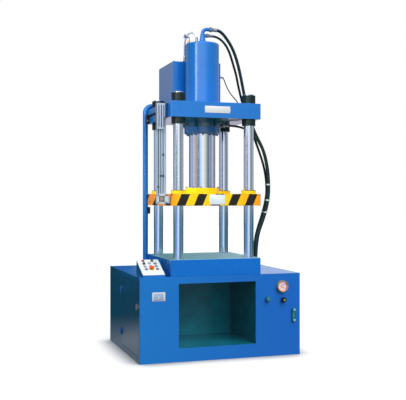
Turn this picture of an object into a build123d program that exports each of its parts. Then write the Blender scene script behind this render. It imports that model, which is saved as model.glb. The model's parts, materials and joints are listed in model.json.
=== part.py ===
from build123d import *
import math
import os

# Four-column hydraulic press on a cabinet base, in millimetres.
# X points right, Y back and Z up. The origin is on the floor, under the centreline of the ram.

os.makedirs("parts", exist_ok=True)

# Cabinet base
cabinet_width = 1500
cabinet_depth = 1250
cabinet_height = 740
cabinet_left = -695
cabinet_front = -405
wall = 8
deck_thickness = 20
floor_thickness = 12
niche_left = -346
niche_right = 371
niche_bottom = 119
niche_top = cabinet_height - 62
niche_depth = 0.52 * cabinet_depth
edge_round = 6

# Table, columns and crown
plate_width = 840
plate_depth = 810
plate_corner = 8
plate_chamfer = 2
table_thickness = 146
table_top = cabinet_height + table_thickness
column_spacing_x = 660
column_spacing_y = 670
column_dia = 90
column_shank_dia = 80
column_seat_depth = 6
column_fit = 0.2
crown_bottom = 2126
crown_thickness = 140
crown_top = crown_bottom + crown_thickness
nut_dia = 122
upper_nut_height = 75
lower_nut_height = 56
base_nut_height = 50
nut_slot = 12
nut_slot_depth = 6
column_overhang = 11

# Cylinder
cylinder_dia = 310
cylinder_bore_dia = 260
cylinder_top = 2850
cylinder_end = 45
cylinder_round = 16
lip_dia = 334
lip_height = 14
ring_dia = 355
ring_height = 54
ring_bottom = crown_bottom - ring_height
gland_dia = 335
gland_height = 63
gland_bottom = ring_bottom - gland_height
ram_dia = 245
running_gap = 0.05
seat_gap = 0.3
port_dia = 24
port_height = 2100

# Slide, shown about halfway down its stroke
slide_thickness = 105
slide_bottom = 1354
slide_top = slide_bottom + slide_thickness
stroke_down = 150
bush_dia = 110
bush_flange_dia = 132
bush_flange_height = 28
piston_height = 100
piston_margin = 27
ram_length = ring_bottom - slide_top + stroke_down + piston_margin + piston_height
ram_collar_dia = 275
ram_collar_height = 20
ram_flange_dia = 310
ram_flange_height = 55
die_hole_spacing = 400
die_hole_dia = 17.5
die_hole_depth = 45

# Stroke rail, its foot and the fixed sensor plate
rail_left = -519
rail_right = -428
rail_thickness = 16
rail_front = -293
rail_bottom = 1372
rail_top = 2250
rail_slot_spacing = 22
rail_slot_width = 8
rail_slot_depth = 5
rail_slot_first = -500
dog_places = ((0, 1518), (1, 1616), (2, 1616), (2, 1801))
dog_size = 16
dog_height = 7
sensor_plate_thickness = 5
sensor_plate_front = -318
sensor_plate_bottom = 2023
sensor_plate_top = 2250
sensor_width = 12
sensor_thickness = 7

# Oil tank on the crown
top_tank_width = 470
top_tank_front = 160
top_tank_back = 670
top_tank_top = 2706
top_tank_wall = 5
lid_thickness = 6
bracket_thickness = 12

# Pipe from the upper tank down to the cabinet
return_pipe_dia = 50
return_pipe_x = -435
return_pipe_y = 430
return_pipe_top = 2303
return_pipe_bend = 62
inner_pipe_height = cabinet_height - 140

# Hoses
main_hose_dia = 29
second_hose_dia = 22
lower_hose_dia = 20
tank_cable_dia = 10
overflow_hose_dia = 18
sensor_cable_dia = 18
fitting_height = 40

# Operator's console, a wedge on the deck
console_left = -663
console_width = 195
console_front = -400
console_back = -157
console_front_height = 19
console_back_height = 132
console_wall = 3
panel_thickness = 3
panel_column_first = 50
panel_column_spacing = 50
panel_rows = (95, 143, 191, 238)
collar_dia = 30
collar_bore_dia = 22.6
collar_height = 4
collar_depth = 22
button_dia = 22
button_proud = 7
button_travel = 4
stop_dia = 40
stop_proud = 26
stop_head = 14
stop_travel = 6
selector_dia = 22
selector_proud = 9

# Instruments on the cabinet's front
gauge_dia = 100
gauge_depth = 34
gauge_wall = 4
gauge_glass_thickness = 2.5
knob_dia = 48
knob_length = 30
spindle_dia = 12
level_length = 129
level_width = 36
level_thickness = 16

# Door in the cabinet's left side
door_front = -380
door_back = 300
door_bottom = 60
door_top = cabinet_height - 50
door_gap = 3
door_fold = 14
door_sheet = 3
hinge_dia = 16
hinge_pin_dia = 8
hinge_length = 60
hinge_heights = (door_bottom + 90, door_top - 150)
lock_y = door_front + 32
lock_z = door_top - 203

# Cover on the cabinet's back
cover_left = -500
cover_right = 300
cover_bottom = 100
cover_top = cabinet_height - 100
cover_overlap = 25
cover_thickness = 3
louvre_count = 8
louvre_spacing = 45
louvre_length = 260

# Power unit inside the cabinet
oil_tank_gap = 16
oil_tank_bottom = 20
oil_tank_top = cabinet_height - 280
oil_tank_wall = 5
motor_x = -330
motor_z = 300
motor_dia = 240
motor_length = 380
motor_bore_dia = 180
shaft_dia = 38
bell_length = 130
bell_dia = 200
pump_length = 120
pump_size = 120
block_length = 500
block_height = 90

cabinet_right = cabinet_left + cabinet_width
cabinet_back = cabinet_front + cabinet_depth
deck_bottom = cabinet_height - deck_thickness
plate_left = -plate_width / 2

# The right bay: instruments in front, the oil tank and the valve block behind them
bay_width = cabinet_right - niche_right
oil_tank_left = niche_right + wall + oil_tank_gap
oil_tank_right = cabinet_right - oil_tank_gap - 4
oil_tank_front = cabinet_front + 20
oil_tank_back = cabinet_back - 55
inner_pipe_x = oil_tank_right - bay_width * 0.45
block_left = niche_right + 0.228 * bay_width
block_right = niche_right + 0.654 * bay_width
block_front = oil_tank_front + 35
block_back = block_front + block_length
block_top = oil_tank_top + block_height
gauge_x = niche_right + 0.58 * bay_width
gauge_z = cabinet_height - 113
level_x = niche_right + 0.85 * bay_width
level_bottom = oil_tank_top - 163
knob_places = {
    "left": (niche_right + 0.26 * bay_width, block_top - 32),
    "right": (niche_right + 0.61 * bay_width, block_top - 47),
}
motor_y = cabinet_back - 285
main_hose_x = plate_width / 2 + 0.353 * (cabinet_right - plate_width / 2)
second_hose_x = main_hose_x - 18
lower_hose_x = main_hose_x - 10
tank_cable_x = main_hose_x - 34
console_slope = math.atan2(
    console_back_height - console_front_height, console_back - console_front)
deck_fittings = {
    (main_hose_x, 60): main_hose_dia + 6,
    (second_hose_x, 97): second_hose_dia + 6,
    (lower_hose_x, 24): lower_hose_dia + 6,
    (tank_cable_x, 121): tank_cable_dia + 10,
}


def block(x0, x1, y0, y1, z0, z1, mode=Mode.ADD):
    """Adds or cuts a box given by its limits along X, Y and Z."""
    with Locations(((x0 + x1) / 2, (y0 + y1) / 2, (z0 + z1) / 2)):
        Box(x1 - x0, y1 - y0, z1 - z0, mode=mode)


def rod(start, end, diameter, mode=Mode.ADD):
    """Adds or cuts a round bar from one point to another."""
    axis = Vector(*end) - Vector(*start)
    with BuildSketch(Plane(origin=start, z_dir=axis)) as section:
        Circle(diameter / 2)
    extrude(section.sketch, amount=axis.length, mode=mode)


def chamfer_outline(plate):
    """Breaks the outer edges of a thick plate, above and below."""
    faces = plate.faces().sort_by(Axis.Z)
    chamfer(faces[0].outer_wire().edges() + faces[-1].outer_wire().edges(), plate_chamfer)


def bend_radii(points):
    """Bend radii of a hose: as large as the two runs at each corner allow."""
    radii = []
    for before, corner, after in zip(points, points[1:], points[2:]):
        run_in = Vector(*corner) - Vector(*before)
        run_out = Vector(*after) - Vector(*corner)
        half_turn = math.radians(run_in.get_angle(run_out)) / 2
        radii.append(0.45 * min(run_in.length, run_out.length) / math.tan(half_turn))
    return radii


def tube_along(points, diameter, radii, bore=0):
    """Adds a round tube that follows straight runs joined by tangent arcs."""
    with BuildLine() as route:
        FilletPolyline(*points, radius=radii)
    start_plane = Plane(origin=points[0], z_dir=Vector(*points[1]) - Vector(*points[0]))
    with BuildSketch(start_plane) as section:
        Circle(diameter / 2)
        if bore:
            Circle(bore / 2, mode=Mode.SUBTRACT)
    sweep(section.sketch, path=route.line)


def report_hose(name, part, points, diameter):
    """Prints a hose's bend radii and its length, checked against its volume."""
    length = part.volume / (math.pi * diameter ** 2 / 4)
    radii = ", ".join(f"{radius:.0f}" for radius in bend_radii(points))
    print(f"{name}: length {length:.0f}, radii {radii}")


# Base cabinet: one weldment of sheet, with a deck, a floor and an open niche
with BuildPart() as base_cabinet:
    with BuildSketch():
        with Locations(((cabinet_left + cabinet_right) / 2, (cabinet_front + cabinet_back) / 2)):
            RectangleRounded(cabinet_width, cabinet_depth, edge_round)
    extrude(amount=cabinet_height)
    block(cabinet_left + wall, cabinet_right - wall, cabinet_front + wall, cabinet_back - wall,
          floor_thickness, deck_bottom, mode=Mode.SUBTRACT)
    block(niche_left - wall, niche_right + wall, cabinet_front + wall / 2,
          cabinet_front + niche_depth + wall, niche_bottom - wall, niche_top + wall)
    block(niche_left, niche_right, cabinet_front, cabinet_front + niche_depth,
          niche_bottom, niche_top, mode=Mode.SUBTRACT)
    for rib_x in (niche_left - wall, niche_right):
        block(rib_x, rib_x + wall, cabinet_front + wall / 2, cabinet_front + niche_depth + wall,
              floor_thickness, deck_bottom)
    with BuildSketch(Plane.XY.offset(niche_top + wall)):
        with GridLocations(column_spacing_x, column_spacing_y, 2, 2):
            Circle(nut_dia / 2 + 6)
        with Locations((return_pipe_x, return_pipe_y)):
            Circle(return_pipe_dia / 2 + 2)
        for (x, y), diameter in deck_fittings.items():
            with Locations((x, y)):
                Circle(diameter / 2 - 6 + seat_gap)
    extrude(amount=cabinet_height - niche_top - wall, mode=Mode.SUBTRACT)
    block(cabinet_left, cabinet_left + wall, door_front - door_gap, door_back + door_gap,
          door_bottom - door_gap, door_top + door_gap, mode=Mode.SUBTRACT)
    block(cover_left, cover_right, cabinet_back - wall, cabinet_back, cover_bottom, cover_top,
          mode=Mode.SUBTRACT)
    for knob_x, knob_z in knob_places.values():
        rod((knob_x, cabinet_front, knob_z), (knob_x, cabinet_front + wall, knob_z),
            spindle_dia + 4, mode=Mode.SUBTRACT)
    rod((gauge_x, cabinet_front, gauge_z), (gauge_x, cabinet_front + wall, gauge_z), 16,
        mode=Mode.SUBTRACT)
    block(cabinet_left + wall, cabinet_left + door_fold - 0.5, door_front - door_gap - 12,
          door_front - door_gap - 1.5, lock_z - 20, lock_z + 20)
base_cabinet.part.label = "base_cabinet"
export_step(base_cabinet.part, "parts/base_cabinet.step")

# Table: a thick machined plate on the deck, with tapped holes for a die
with BuildPart() as table:
    with BuildSketch(Plane.XY.offset(cabinet_height)):
        RectangleRounded(plate_width, plate_depth, plate_corner)
        with GridLocations(column_spacing_x, column_spacing_y, 2, 2):
            Circle(column_shank_dia / 2 + column_fit, mode=Mode.SUBTRACT)
    extrude(amount=table_thickness)
    chamfer_outline(table)
    with BuildSketch(Plane.XY.offset(table_top - column_seat_depth)):
        with GridLocations(column_spacing_x, column_spacing_y, 2, 2):
            Circle(column_dia / 2 + column_fit)
    extrude(amount=column_seat_depth, mode=Mode.SUBTRACT)
    with Locations((0, 0, table_top)):
        with GridLocations(die_hole_spacing, die_hole_spacing, 2, 2):
            Hole(die_hole_dia / 2, depth=die_hole_depth)
table.part.label = "table"
export_step(table.part, "parts/table.step")

# Columns: chromed bars, seated in the table and nutted above and below the crown
column_seat = table_top - column_seat_depth
column_top = crown_top + upper_nut_height + column_overhang
base_nut_bottom = cabinet_height - base_nut_height
column_names = ("column_front_left", "column_back_left", "column_front_right", "column_back_right")
column_places = [(x, y) for x in (-column_spacing_x / 2, column_spacing_x / 2)
                 for y in (-column_spacing_y / 2, column_spacing_y / 2)]
for name, (x, y) in zip(column_names, column_places):
    with BuildPart() as column:
        with BuildSketch(Plane.XY.offset(base_nut_bottom)):
            with Locations((x, y)):
                Circle(column_shank_dia / 2)
        extrude(amount=column_seat - base_nut_bottom)
        with BuildSketch(Plane.XY.offset(column_seat)):
            with Locations((x, y)):
                Circle(column_dia / 2)
        extrude(amount=column_top - column_seat)
        chamfer(column.edges().group_by(Axis.Z)[-1], 4)
    column.part.label = name
    export_step(column.part, f"parts/{name}.step")

# Column nuts: round nuts with four spanner slots, three to a column
nut_rows = (
    (base_nut_bottom, base_nut_height, column_shank_dia),
    (crown_bottom - lower_nut_height, lower_nut_height, column_dia),
    (crown_top, upper_nut_height, column_dia),
)
with BuildPart() as column_nuts:
    for nut_bottom, nut_height, thread_dia in nut_rows:
        with BuildSketch(Plane.XY.offset(nut_bottom)):
            for x, y in column_places:
                with Locations((x, y)):
                    Circle(nut_dia / 2)
                    Circle(thread_dia / 2 + column_fit, mode=Mode.SUBTRACT)
                    with PolarLocations(nut_dia / 2, 4, start_angle=45):
                        Rectangle(2 * nut_slot_depth, nut_slot, mode=Mode.SUBTRACT)
        extrude(amount=nut_height)
column_nuts.part.label = "column_nuts"
export_step(column_nuts.part, "parts/column_nuts.step")

# Crown: a thick plate bored for the columns and the cylinder
with BuildPart() as crown:
    with BuildSketch(Plane.XY.offset(crown_bottom)):
        RectangleRounded(plate_width, plate_depth, plate_corner)
        with GridLocations(column_spacing_x, column_spacing_y, 2, 2):
            Circle(column_dia / 2 + column_fit, mode=Mode.SUBTRACT)
        Circle(cylinder_dia / 2 + column_fit, mode=Mode.SUBTRACT)
    extrude(amount=crown_thickness)
    chamfer_outline(crown)
crown.part.label = "crown"
export_step(crown.part, "parts/crown.step")

# Cylinder: a blind forging with a lip under the crown, its pressure port on top
bore_top = cylinder_top - cylinder_end
with BuildPart() as cylinder:
    with BuildSketch(Plane.XZ):
        with BuildLine():
            Polyline((0, cylinder_top), (cylinder_dia / 2, cylinder_top),
                     (cylinder_dia / 2, ring_bottom + lip_height),
                     (lip_dia / 2, ring_bottom + lip_height), (lip_dia / 2, ring_bottom),
                     (cylinder_bore_dia / 2, ring_bottom), (cylinder_bore_dia / 2, bore_top),
                     (0, bore_top), close=True)
        make_face()
    revolve(axis=Axis.Z)
    top_edge = cylinder.edges().filter_by(GeomType.CIRCLE).group_by(Axis.Z)[-1]
    fillet(top_edge, cylinder_round)
    rod((0, 0, bore_top), (0, 0, cylinder_top), port_dia, mode=Mode.SUBTRACT)
    rod((cylinder_bore_dia / 2 - 1, 0, port_height), (cylinder_dia / 2, 0, port_height), port_dia / 2,
        mode=Mode.SUBTRACT)
cylinder.part.label = "cylinder"
export_step(cylinder.part, "parts/cylinder.step")

# Retaining ring: holds the cylinder's lip under the crown
with BuildPart() as retaining_ring:
    with BuildSketch(Plane.XZ):
        with BuildLine():
            Polyline((ring_dia / 2, ring_bottom), (ring_dia / 2, crown_bottom),
                     (cylinder_dia / 2 + column_fit, crown_bottom),
                     (cylinder_dia / 2 + column_fit, ring_bottom + lip_height + column_fit),
                     (lip_dia / 2 + column_fit, ring_bottom + lip_height + column_fit),
                     (lip_dia / 2 + column_fit, ring_bottom), close=True)
        make_face()
    revolve(axis=Axis.Z)
    rod((cylinder_dia / 2 - 5, 0, port_height), (ring_dia / 2 + 5, 0, port_height),
        lower_hose_dia + 8, mode=Mode.SUBTRACT)
retaining_ring.part.label = "retaining_ring"
export_step(retaining_ring.part, "parts/retaining_ring.step")

# Gland flange: closes the cylinder round the ram
with BuildPart() as gland_flange:
    with BuildSketch(Plane.XZ):
        with BuildLine():
            Polyline((ram_dia / 2 + running_gap, gland_bottom), (gland_dia / 2 - 12, gland_bottom),
                     (gland_dia / 2, gland_bottom + 12), (gland_dia / 2, ring_bottom),
                     (ram_dia / 2 + running_gap, ring_bottom), close=True)
        make_face()
    revolve(axis=Axis.Z)
gland_flange.part.label = "gland_flange"
export_step(gland_flange.part, "parts/gland_flange.step")

# Slide: a thick plate with bushed column bores and tapped holes for the upper die
with BuildPart() as slide:
    with BuildSketch(Plane.XY.offset(slide_bottom)):
        RectangleRounded(plate_width, plate_depth, plate_corner)
        with GridLocations(column_spacing_x, column_spacing_y, 2, 2):
            Circle(bush_dia / 2 + column_fit, mode=Mode.SUBTRACT)
    extrude(amount=slide_thickness)
    chamfer_outline(slide)
    with BuildSketch(Plane.XY.offset(slide_bottom)):
        with GridLocations(die_hole_spacing, die_hole_spacing, 2, 2):
            Circle(die_hole_dia / 2)
    extrude(amount=die_hole_depth, mode=Mode.SUBTRACT)
slide.part.label = "slide"
export_step(slide.part, "parts/slide.step")

# Guide bushes: flanged sleeves that run on the columns
with BuildPart() as guide_bushes:
    for x, y in column_places:
        with BuildSketch(Plane.XY.offset(slide_bottom)):
            with Locations((x, y)):
                Circle(bush_dia / 2)
                Circle(column_dia / 2 + running_gap, mode=Mode.SUBTRACT)
        extrude(amount=slide_thickness)
        with BuildSketch(Plane.XY.offset(slide_top)):
            with Locations((x, y)):
                Circle(bush_flange_dia / 2)
                Circle(column_dia / 2 + running_gap, mode=Mode.SUBTRACT)
        extrude(amount=bush_flange_height)
guide_bushes.part.label = "guide_bushes"
export_step(guide_bushes.part, "parts/guide_bushes.step")

# Ram: a chromed bar with its collar below and its piston in the cylinder
with BuildPart() as ram:
    with BuildSketch(Plane.XZ):
        with BuildLine():
            Polyline((0, slide_top), (ram_collar_dia / 2, slide_top),
                     (ram_collar_dia / 2, slide_top + ram_collar_height),
                     (ram_dia / 2, slide_top + ram_collar_height),
                     (ram_dia / 2, slide_top + ram_length - piston_height),
                     (cylinder_bore_dia / 2 - running_gap, slide_top + ram_length - piston_height),
                     (cylinder_bore_dia / 2 - running_gap, slide_top + ram_length),
                     (0, slide_top + ram_length), close=True)
        make_face()
    revolve(axis=Axis.Z)
ram.part.label = "ram"
export_step(ram.part, "parts/ram.step")

# Ram flange: clamps the ram's collar to the slide
with BuildPart() as ram_flange:
    with BuildSketch(Plane.XZ):
        with BuildLine():
            Polyline((ram_collar_dia / 2 + column_fit, slide_top), (ram_flange_dia / 2, slide_top),
                     (ram_flange_dia / 2, slide_top + ram_flange_height),
                     (ram_dia / 2 + column_fit, slide_top + ram_flange_height),
                     (ram_dia / 2 + column_fit, slide_top + ram_collar_height + column_fit),
                     (ram_collar_dia / 2 + column_fit, slide_top + ram_collar_height + column_fit),
                     close=True)
        make_face()
    revolve(axis=Axis.Z)
ram_flange.part.label = "ram_flange"
export_step(ram_flange.part, "parts/ram_flange.step")

# Stroke rail: an aluminium bar with three grooves for the trip dogs
rail_back = rail_front + rail_thickness
slot_places = [rail_slot_first + step * rail_slot_spacing for step in range(3)]
with BuildPart() as stroke_rail:
    block(rail_left, rail_right, rail_front, rail_back, rail_bottom, rail_top)
    for x in slot_places:
        block(x - rail_slot_width / 2, x + rail_slot_width / 2,
              rail_front, rail_front + rail_slot_depth, rail_bottom, rail_top, mode=Mode.SUBTRACT)
stroke_rail.part.label = "stroke_rail"
export_step(stroke_rail.part, "parts/stroke_rail.step")

# Trip dogs: blocks keyed into the grooves, at different heights
with BuildPart() as trip_dogs:
    for slot, z in dog_places:
        x = slot_places[slot]
        block(x - dog_size / 2, x + dog_size / 2, rail_front - dog_height, rail_front,
              z - dog_size / 2, z + dog_size / 2)
        block(x - rail_slot_width / 2 + column_fit, x + rail_slot_width / 2 - column_fit,
              rail_front, rail_front + rail_slot_depth, z - dog_size / 2, z + dog_size / 2)
trip_dogs.part.label = "trip_dogs"
export_step(trip_dogs.part, "parts/trip_dogs.step")

# Rail foot: a bracket from the slide's left side that clamps the rail
foot_width = 80
foot_height = 88
foot_depth = 22
foot_bottom = rail_bottom - 2
foot_window = 50
foot_plate_thickness = 6
foot_arm_top = slide_top - 8
foot_left = (rail_left + rail_right) / 2 - foot_width / 2
with BuildPart() as rail_foot:
    block(foot_left, foot_left + foot_width, rail_front - foot_depth, rail_front,
          foot_bottom, foot_bottom + foot_height)
    block(foot_left + (foot_width - foot_window) / 2, foot_left + (foot_width + foot_window) / 2,
          rail_front - foot_depth, rail_front - foot_depth + 6,
          foot_bottom + (foot_height - foot_window) / 2,
          foot_bottom + (foot_height + foot_window) / 2, mode=Mode.SUBTRACT)
    block(foot_left + foot_width - 12, plate_left, rail_front - foot_depth,
          rail_front - foot_depth + 12, foot_bottom + 6, foot_arm_top - 12)
    block(plate_left - foot_plate_thickness, plate_left, rail_front - foot_depth - 60,
          rail_back + 40, foot_bottom + 6, foot_arm_top - 12)
rail_foot.part.label = "rail_foot"
export_step(rail_foot.part, "parts/rail_foot.step")

# Sensor plate: folded sheet on the crown's left side, slotted for the stroke sensors
plate_inner = -454
with BuildPart() as sensor_plate:
    block(rail_left, plate_inner, sensor_plate_front, sensor_plate_front + sensor_plate_thickness,
          sensor_plate_bottom, sensor_plate_top)
    block(plate_inner, plate_left, sensor_plate_front,
          sensor_plate_front + sensor_plate_thickness, crown_bottom, sensor_plate_top)
    block(plate_left - sensor_plate_thickness, plate_left, sensor_plate_front, -225,
          crown_bottom, sensor_plate_top)
    for x in slot_places:
        block(x - rail_slot_width / 2, x + rail_slot_width / 2, sensor_plate_front,
              sensor_plate_front + sensor_plate_thickness,
              sensor_plate_bottom + 14, sensor_plate_top - 14, mode=Mode.SUBTRACT)
sensor_plate.part.label = "sensor_plate"
export_step(sensor_plate.part, "parts/sensor_plate.step")

# Limit switches: three in the sensor plate, one on the crown's side, one on the pipe
switch_front = sensor_plate_front + sensor_plate_thickness
side_switch_y = 350
side_switch_bottom = 2131
side_switch_height = 84
side_switch_depth = 28
side_switch_width = 40
low_switch_bottom = 1271
low_switch_height = 64
with BuildPart() as limit_switches:
    for x in slot_places:
        block(x - sensor_width / 2, x + sensor_width / 2, switch_front,
              switch_front + sensor_thickness, sensor_plate_bottom + 20, sensor_plate_top - 20)
    block(plate_left - side_switch_depth, plate_left,
          side_switch_y - side_switch_width / 2, side_switch_y + side_switch_width / 2,
          side_switch_bottom, side_switch_bottom + side_switch_height)
    switch_left = return_pipe_x + return_pipe_dia / 2
    block(switch_left, switch_left + 18, return_pipe_y - 20, return_pipe_y + 20,
          low_switch_bottom, low_switch_bottom + low_switch_height)
    fillet(limit_switches.edges().filter_by(Axis.X).filter_by(
        lambda edge: edge.center().Y > 0 and edge.center().X < plate_left), 12)
limit_switches.part.label = "limit_switches"
export_step(limit_switches.part, "parts/limit_switches.step")

# Sensor cable: a sheathed lead clipped along the crown's left side
sensor_cable_x = plate_left - sensor_cable_dia / 2 - seat_gap
sensor_cable_z = 2203
with BuildPart() as sensor_cable:
    rod((sensor_cable_x, -225, sensor_cable_z),
        (sensor_cable_x, side_switch_y - side_switch_width / 2, sensor_cable_z), sensor_cable_dia)
sensor_cable.part.label = "sensor_cable"
export_step(sensor_cable.part, "parts/sensor_cable.step")

# Top tank: a welded box behind the cylinder, carried on two brackets past the crown
tank_left = -top_tank_width / 2
tank_right = top_tank_width / 2
with BuildPart() as top_tank:
    block(tank_left, tank_right, top_tank_front, top_tank_back, crown_top,
          top_tank_top - lid_thickness)
    block(tank_left + top_tank_wall, tank_right - top_tank_wall,
          top_tank_front + top_tank_wall, top_tank_back - top_tank_wall,
          crown_top + top_tank_wall, top_tank_top - lid_thickness, mode=Mode.SUBTRACT)
    rod((tank_left, return_pipe_y, return_pipe_top),
        (tank_left + top_tank_wall, return_pipe_y, return_pipe_top), return_pipe_dia - 8,
        mode=Mode.SUBTRACT)
    for x in (tank_left + 60, tank_right - 60):
        with BuildSketch(Plane.YZ.offset(x - bracket_thickness / 2)):
            with BuildLine():
                Polyline((plate_depth / 2, crown_top), (top_tank_back - 20, crown_top),
                         (top_tank_back - 20, crown_top - 20), (plate_depth / 2 + 10, crown_bottom),
                         (plate_depth / 2, crown_bottom), close=True)
            make_face()
        extrude(amount=bracket_thickness)
top_tank.part.label = "top_tank"
export_step(top_tank.part, "parts/top_tank.step")

# Tank lid: a flat cover with a filler and breather at the back
with BuildPart() as tank_lid:
    block(tank_left, tank_right, top_tank_front, top_tank_back,
          top_tank_top - lid_thickness, top_tank_top)
    rod((60, 560, top_tank_top), (60, 560, top_tank_top + 20), 70)
    rod((60, 560, top_tank_top + 20), (60, 560, top_tank_top + 50), 86)
tank_lid.part.label = "tank_lid"
export_step(tank_lid.part, "parts/tank_lid.step")

# Return pipe: from the upper tank down through the deck and across to the oil tank
return_route = ((tank_left, return_pipe_y, return_pipe_top),
                (return_pipe_x, return_pipe_y, return_pipe_top),
                (return_pipe_x, return_pipe_y, inner_pipe_height),
                (inner_pipe_x, return_pipe_y, inner_pipe_height),
                (inner_pipe_x, return_pipe_y, oil_tank_top))
return_bore = return_pipe_dia - 8
with BuildPart() as return_pipe:
    tube_along(return_route, return_pipe_dia, return_pipe_bend, bore=return_bore)
    with BuildSketch(Plane.XY.offset(cabinet_height)):
        with Locations((return_pipe_x, return_pipe_y)):
            Circle(return_pipe_dia / 2 + 5)
            Circle(return_bore / 2, mode=Mode.SUBTRACT)
    extrude(amount=10)
return_pipe.part.label = "return_pipe"
export_step(return_pipe.part, "parts/return_pipe.step")

# Riser on the cylinder: a coned boss, a standing pipe with a bend, and a branch
riser_x = 3
riser_pipe_dia = 34
riser_top = cylinder_top + 138
branch_height = cylinder_top + 80
main_hose_start = 66
second_hose_start = 30
with BuildPart() as riser_pipe:
    tube_along(((riser_x, 0, cylinder_top + 40), (riser_x, 0, riser_top),
                (main_hose_start, 0, riser_top)), riser_pipe_dia, 42)
    with BuildSketch(Plane.XZ):
        with BuildLine():
            Polyline((riser_x, cylinder_top), (riser_x + 34, cylinder_top),
                     (riser_x + 34, cylinder_top + 14), (riser_x + 25, cylinder_top + 50),
                     (riser_x + 20, cylinder_top + 96), (riser_x, cylinder_top + 96), close=True)
        make_face()
    revolve(axis=Axis((riser_x, 0, 0), (0, 0, 1)))
    rod((riser_x, 0, branch_height), (second_hose_start, 0, branch_height), riser_pipe_dia - 4)
riser_pipe.part.label = "riser_pipe"
export_step(riser_pipe.part, "parts/riser_pipe.step")


def to_deck(points, deck_x):
    """Fits a route's lower part to its deck fitting, from the slide's level down."""
    hang = 1470
    end_x, end_y, end_z = points[-1]
    fitted = []
    for x, y, z in points:
        share = max(0, (hang - z) / (hang - end_z))
        lower = cabinet_height + fitting_height - end_z
        fitted.append((x + share * (deck_x - end_x), y, z + share * lower))
    return fitted


# Hoses: from the cylinder over the crown's right side and down to the deck
main_hose_route = to_deck((
    (94, 0, riser_top), (150, 0, riser_top), (195, 5, 2968), (238, 12, 2925), (289, 18, 2859),
    (330, 24, 2782), (363, 30, 2690), (391, 36, 2590), (415, 42, 2488), (439, 48, 2382),
    (467, 52, 2262), (507, 56, 2140), (561, 59, 2020), (636, 60, 1890), (676, 60, 1750),
    (692, 60, 1610), (695, 60, 1470), (676, 60, 1340), (636, 60, 1215), (585, 60, 1095),
    (563, 60, 975), (556, 60, 870), (556, 60, 780)), main_hose_x)
second_hose_route = to_deck((
    (60, 0, branch_height), (120, 0, branch_height), (185, 14, 2908), (238, 32, 2868),
    (279, 51, 2815), (312, 70, 2752), (342, 86, 2676), (373, 99, 2596), (395, 111, 2510),
    (421, 121, 2420), (448, 126, 2328), (477, 123, 2235), (512, 116, 2135), (554, 107, 2020),
    (602, 100, 1890), (652, 97, 1750), (681, 97, 1610), (687, 97, 1470), (662, 97, 1340),
    (616, 97, 1215), (567, 97, 1095), (544, 97, 975), (538, 97, 870), (538, 97, 780)),
    second_hose_x)
lower_hose_route = to_deck((
    (222, 0, 2100), (275, 0, 2100), (362, 4, 2094), (447, 8, 2070), (516, 12, 2020),
    (574, 16, 1950), (619, 20, 1865), (647, 22, 1755), (665, 24, 1635), (670, 24, 1500),
    (657, 24, 1370), (623, 24, 1245), (569, 24, 1125), (548, 24, 1000), (546, 24, 885),
    (546, 24, 780)), lower_hose_x)
tank_cable_route = to_deck((
    (247, 200, 2580), (265, 200, 2580), (282, 199, 2570), (298, 197, 2526), (320, 194, 2474),
    (348, 190, 2426), (386, 186, 2386), (423, 181, 2340), (460, 172, 2262), (499, 160, 2175),
    (542, 147, 2080), (591, 133, 1960), (641, 124, 1830), (679, 121, 1700), (701, 121, 1562),
    (696, 121, 1430), (666, 121, 1305), (619, 121, 1187), (571, 121, 1070), (538, 121, 952),
    (522, 121, 860), (522, 121, 780)), tank_cable_x)
overflow_hose_route = (
    (-54, 0, 2870), (-54, 0, 2917), (-69, 19, 2950), (-92, 49, 2962), (-116, 79, 2950),
    (-131, 98, 2917), (-133, 120, 2872), (-124, 152, 2832), (-115, 184, 2796), (-108, 208, 2762),
    (-108, 208, 2722))

with BuildPart() as main_hose:
    tube_along(main_hose_route, main_hose_dia, bend_radii(main_hose_route))
main_hose.part.label = "main_hose"
export_step(main_hose.part, "parts/main_hose.step")
report_hose("main hose", main_hose.part, main_hose_route, main_hose_dia)

with BuildPart() as second_hose:
    tube_along(second_hose_route, second_hose_dia, bend_radii(second_hose_route))
second_hose.part.label = "second_hose"
export_step(second_hose.part, "parts/second_hose.step")
report_hose("second hose", second_hose.part, second_hose_route, second_hose_dia)

with BuildPart() as lower_hose:
    tube_along(lower_hose_route, lower_hose_dia, bend_radii(lower_hose_route))
lower_hose.part.label = "lower_hose"
export_step(lower_hose.part, "parts/lower_hose.step")
report_hose("lower hose", lower_hose.part, lower_hose_route, lower_hose_dia)

with BuildPart() as tank_cable:
    tube_along(tank_cable_route, tank_cable_dia, bend_radii(tank_cable_route))
tank_cable.part.label = "tank_cable"
export_step(tank_cable.part, "parts/tank_cable.step")
report_hose("tank cable", tank_cable.part, tank_cable_route, tank_cable_dia)

with BuildPart() as overflow_hose:
    tube_along(overflow_hose_route, overflow_hose_dia, bend_radii(overflow_hose_route))
overflow_hose.part.label = "overflow_hose"
export_step(overflow_hose.part, "parts/overflow_hose.step")
report_hose("overflow hose", overflow_hose.part, overflow_hose_route, overflow_hose_dia)

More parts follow.
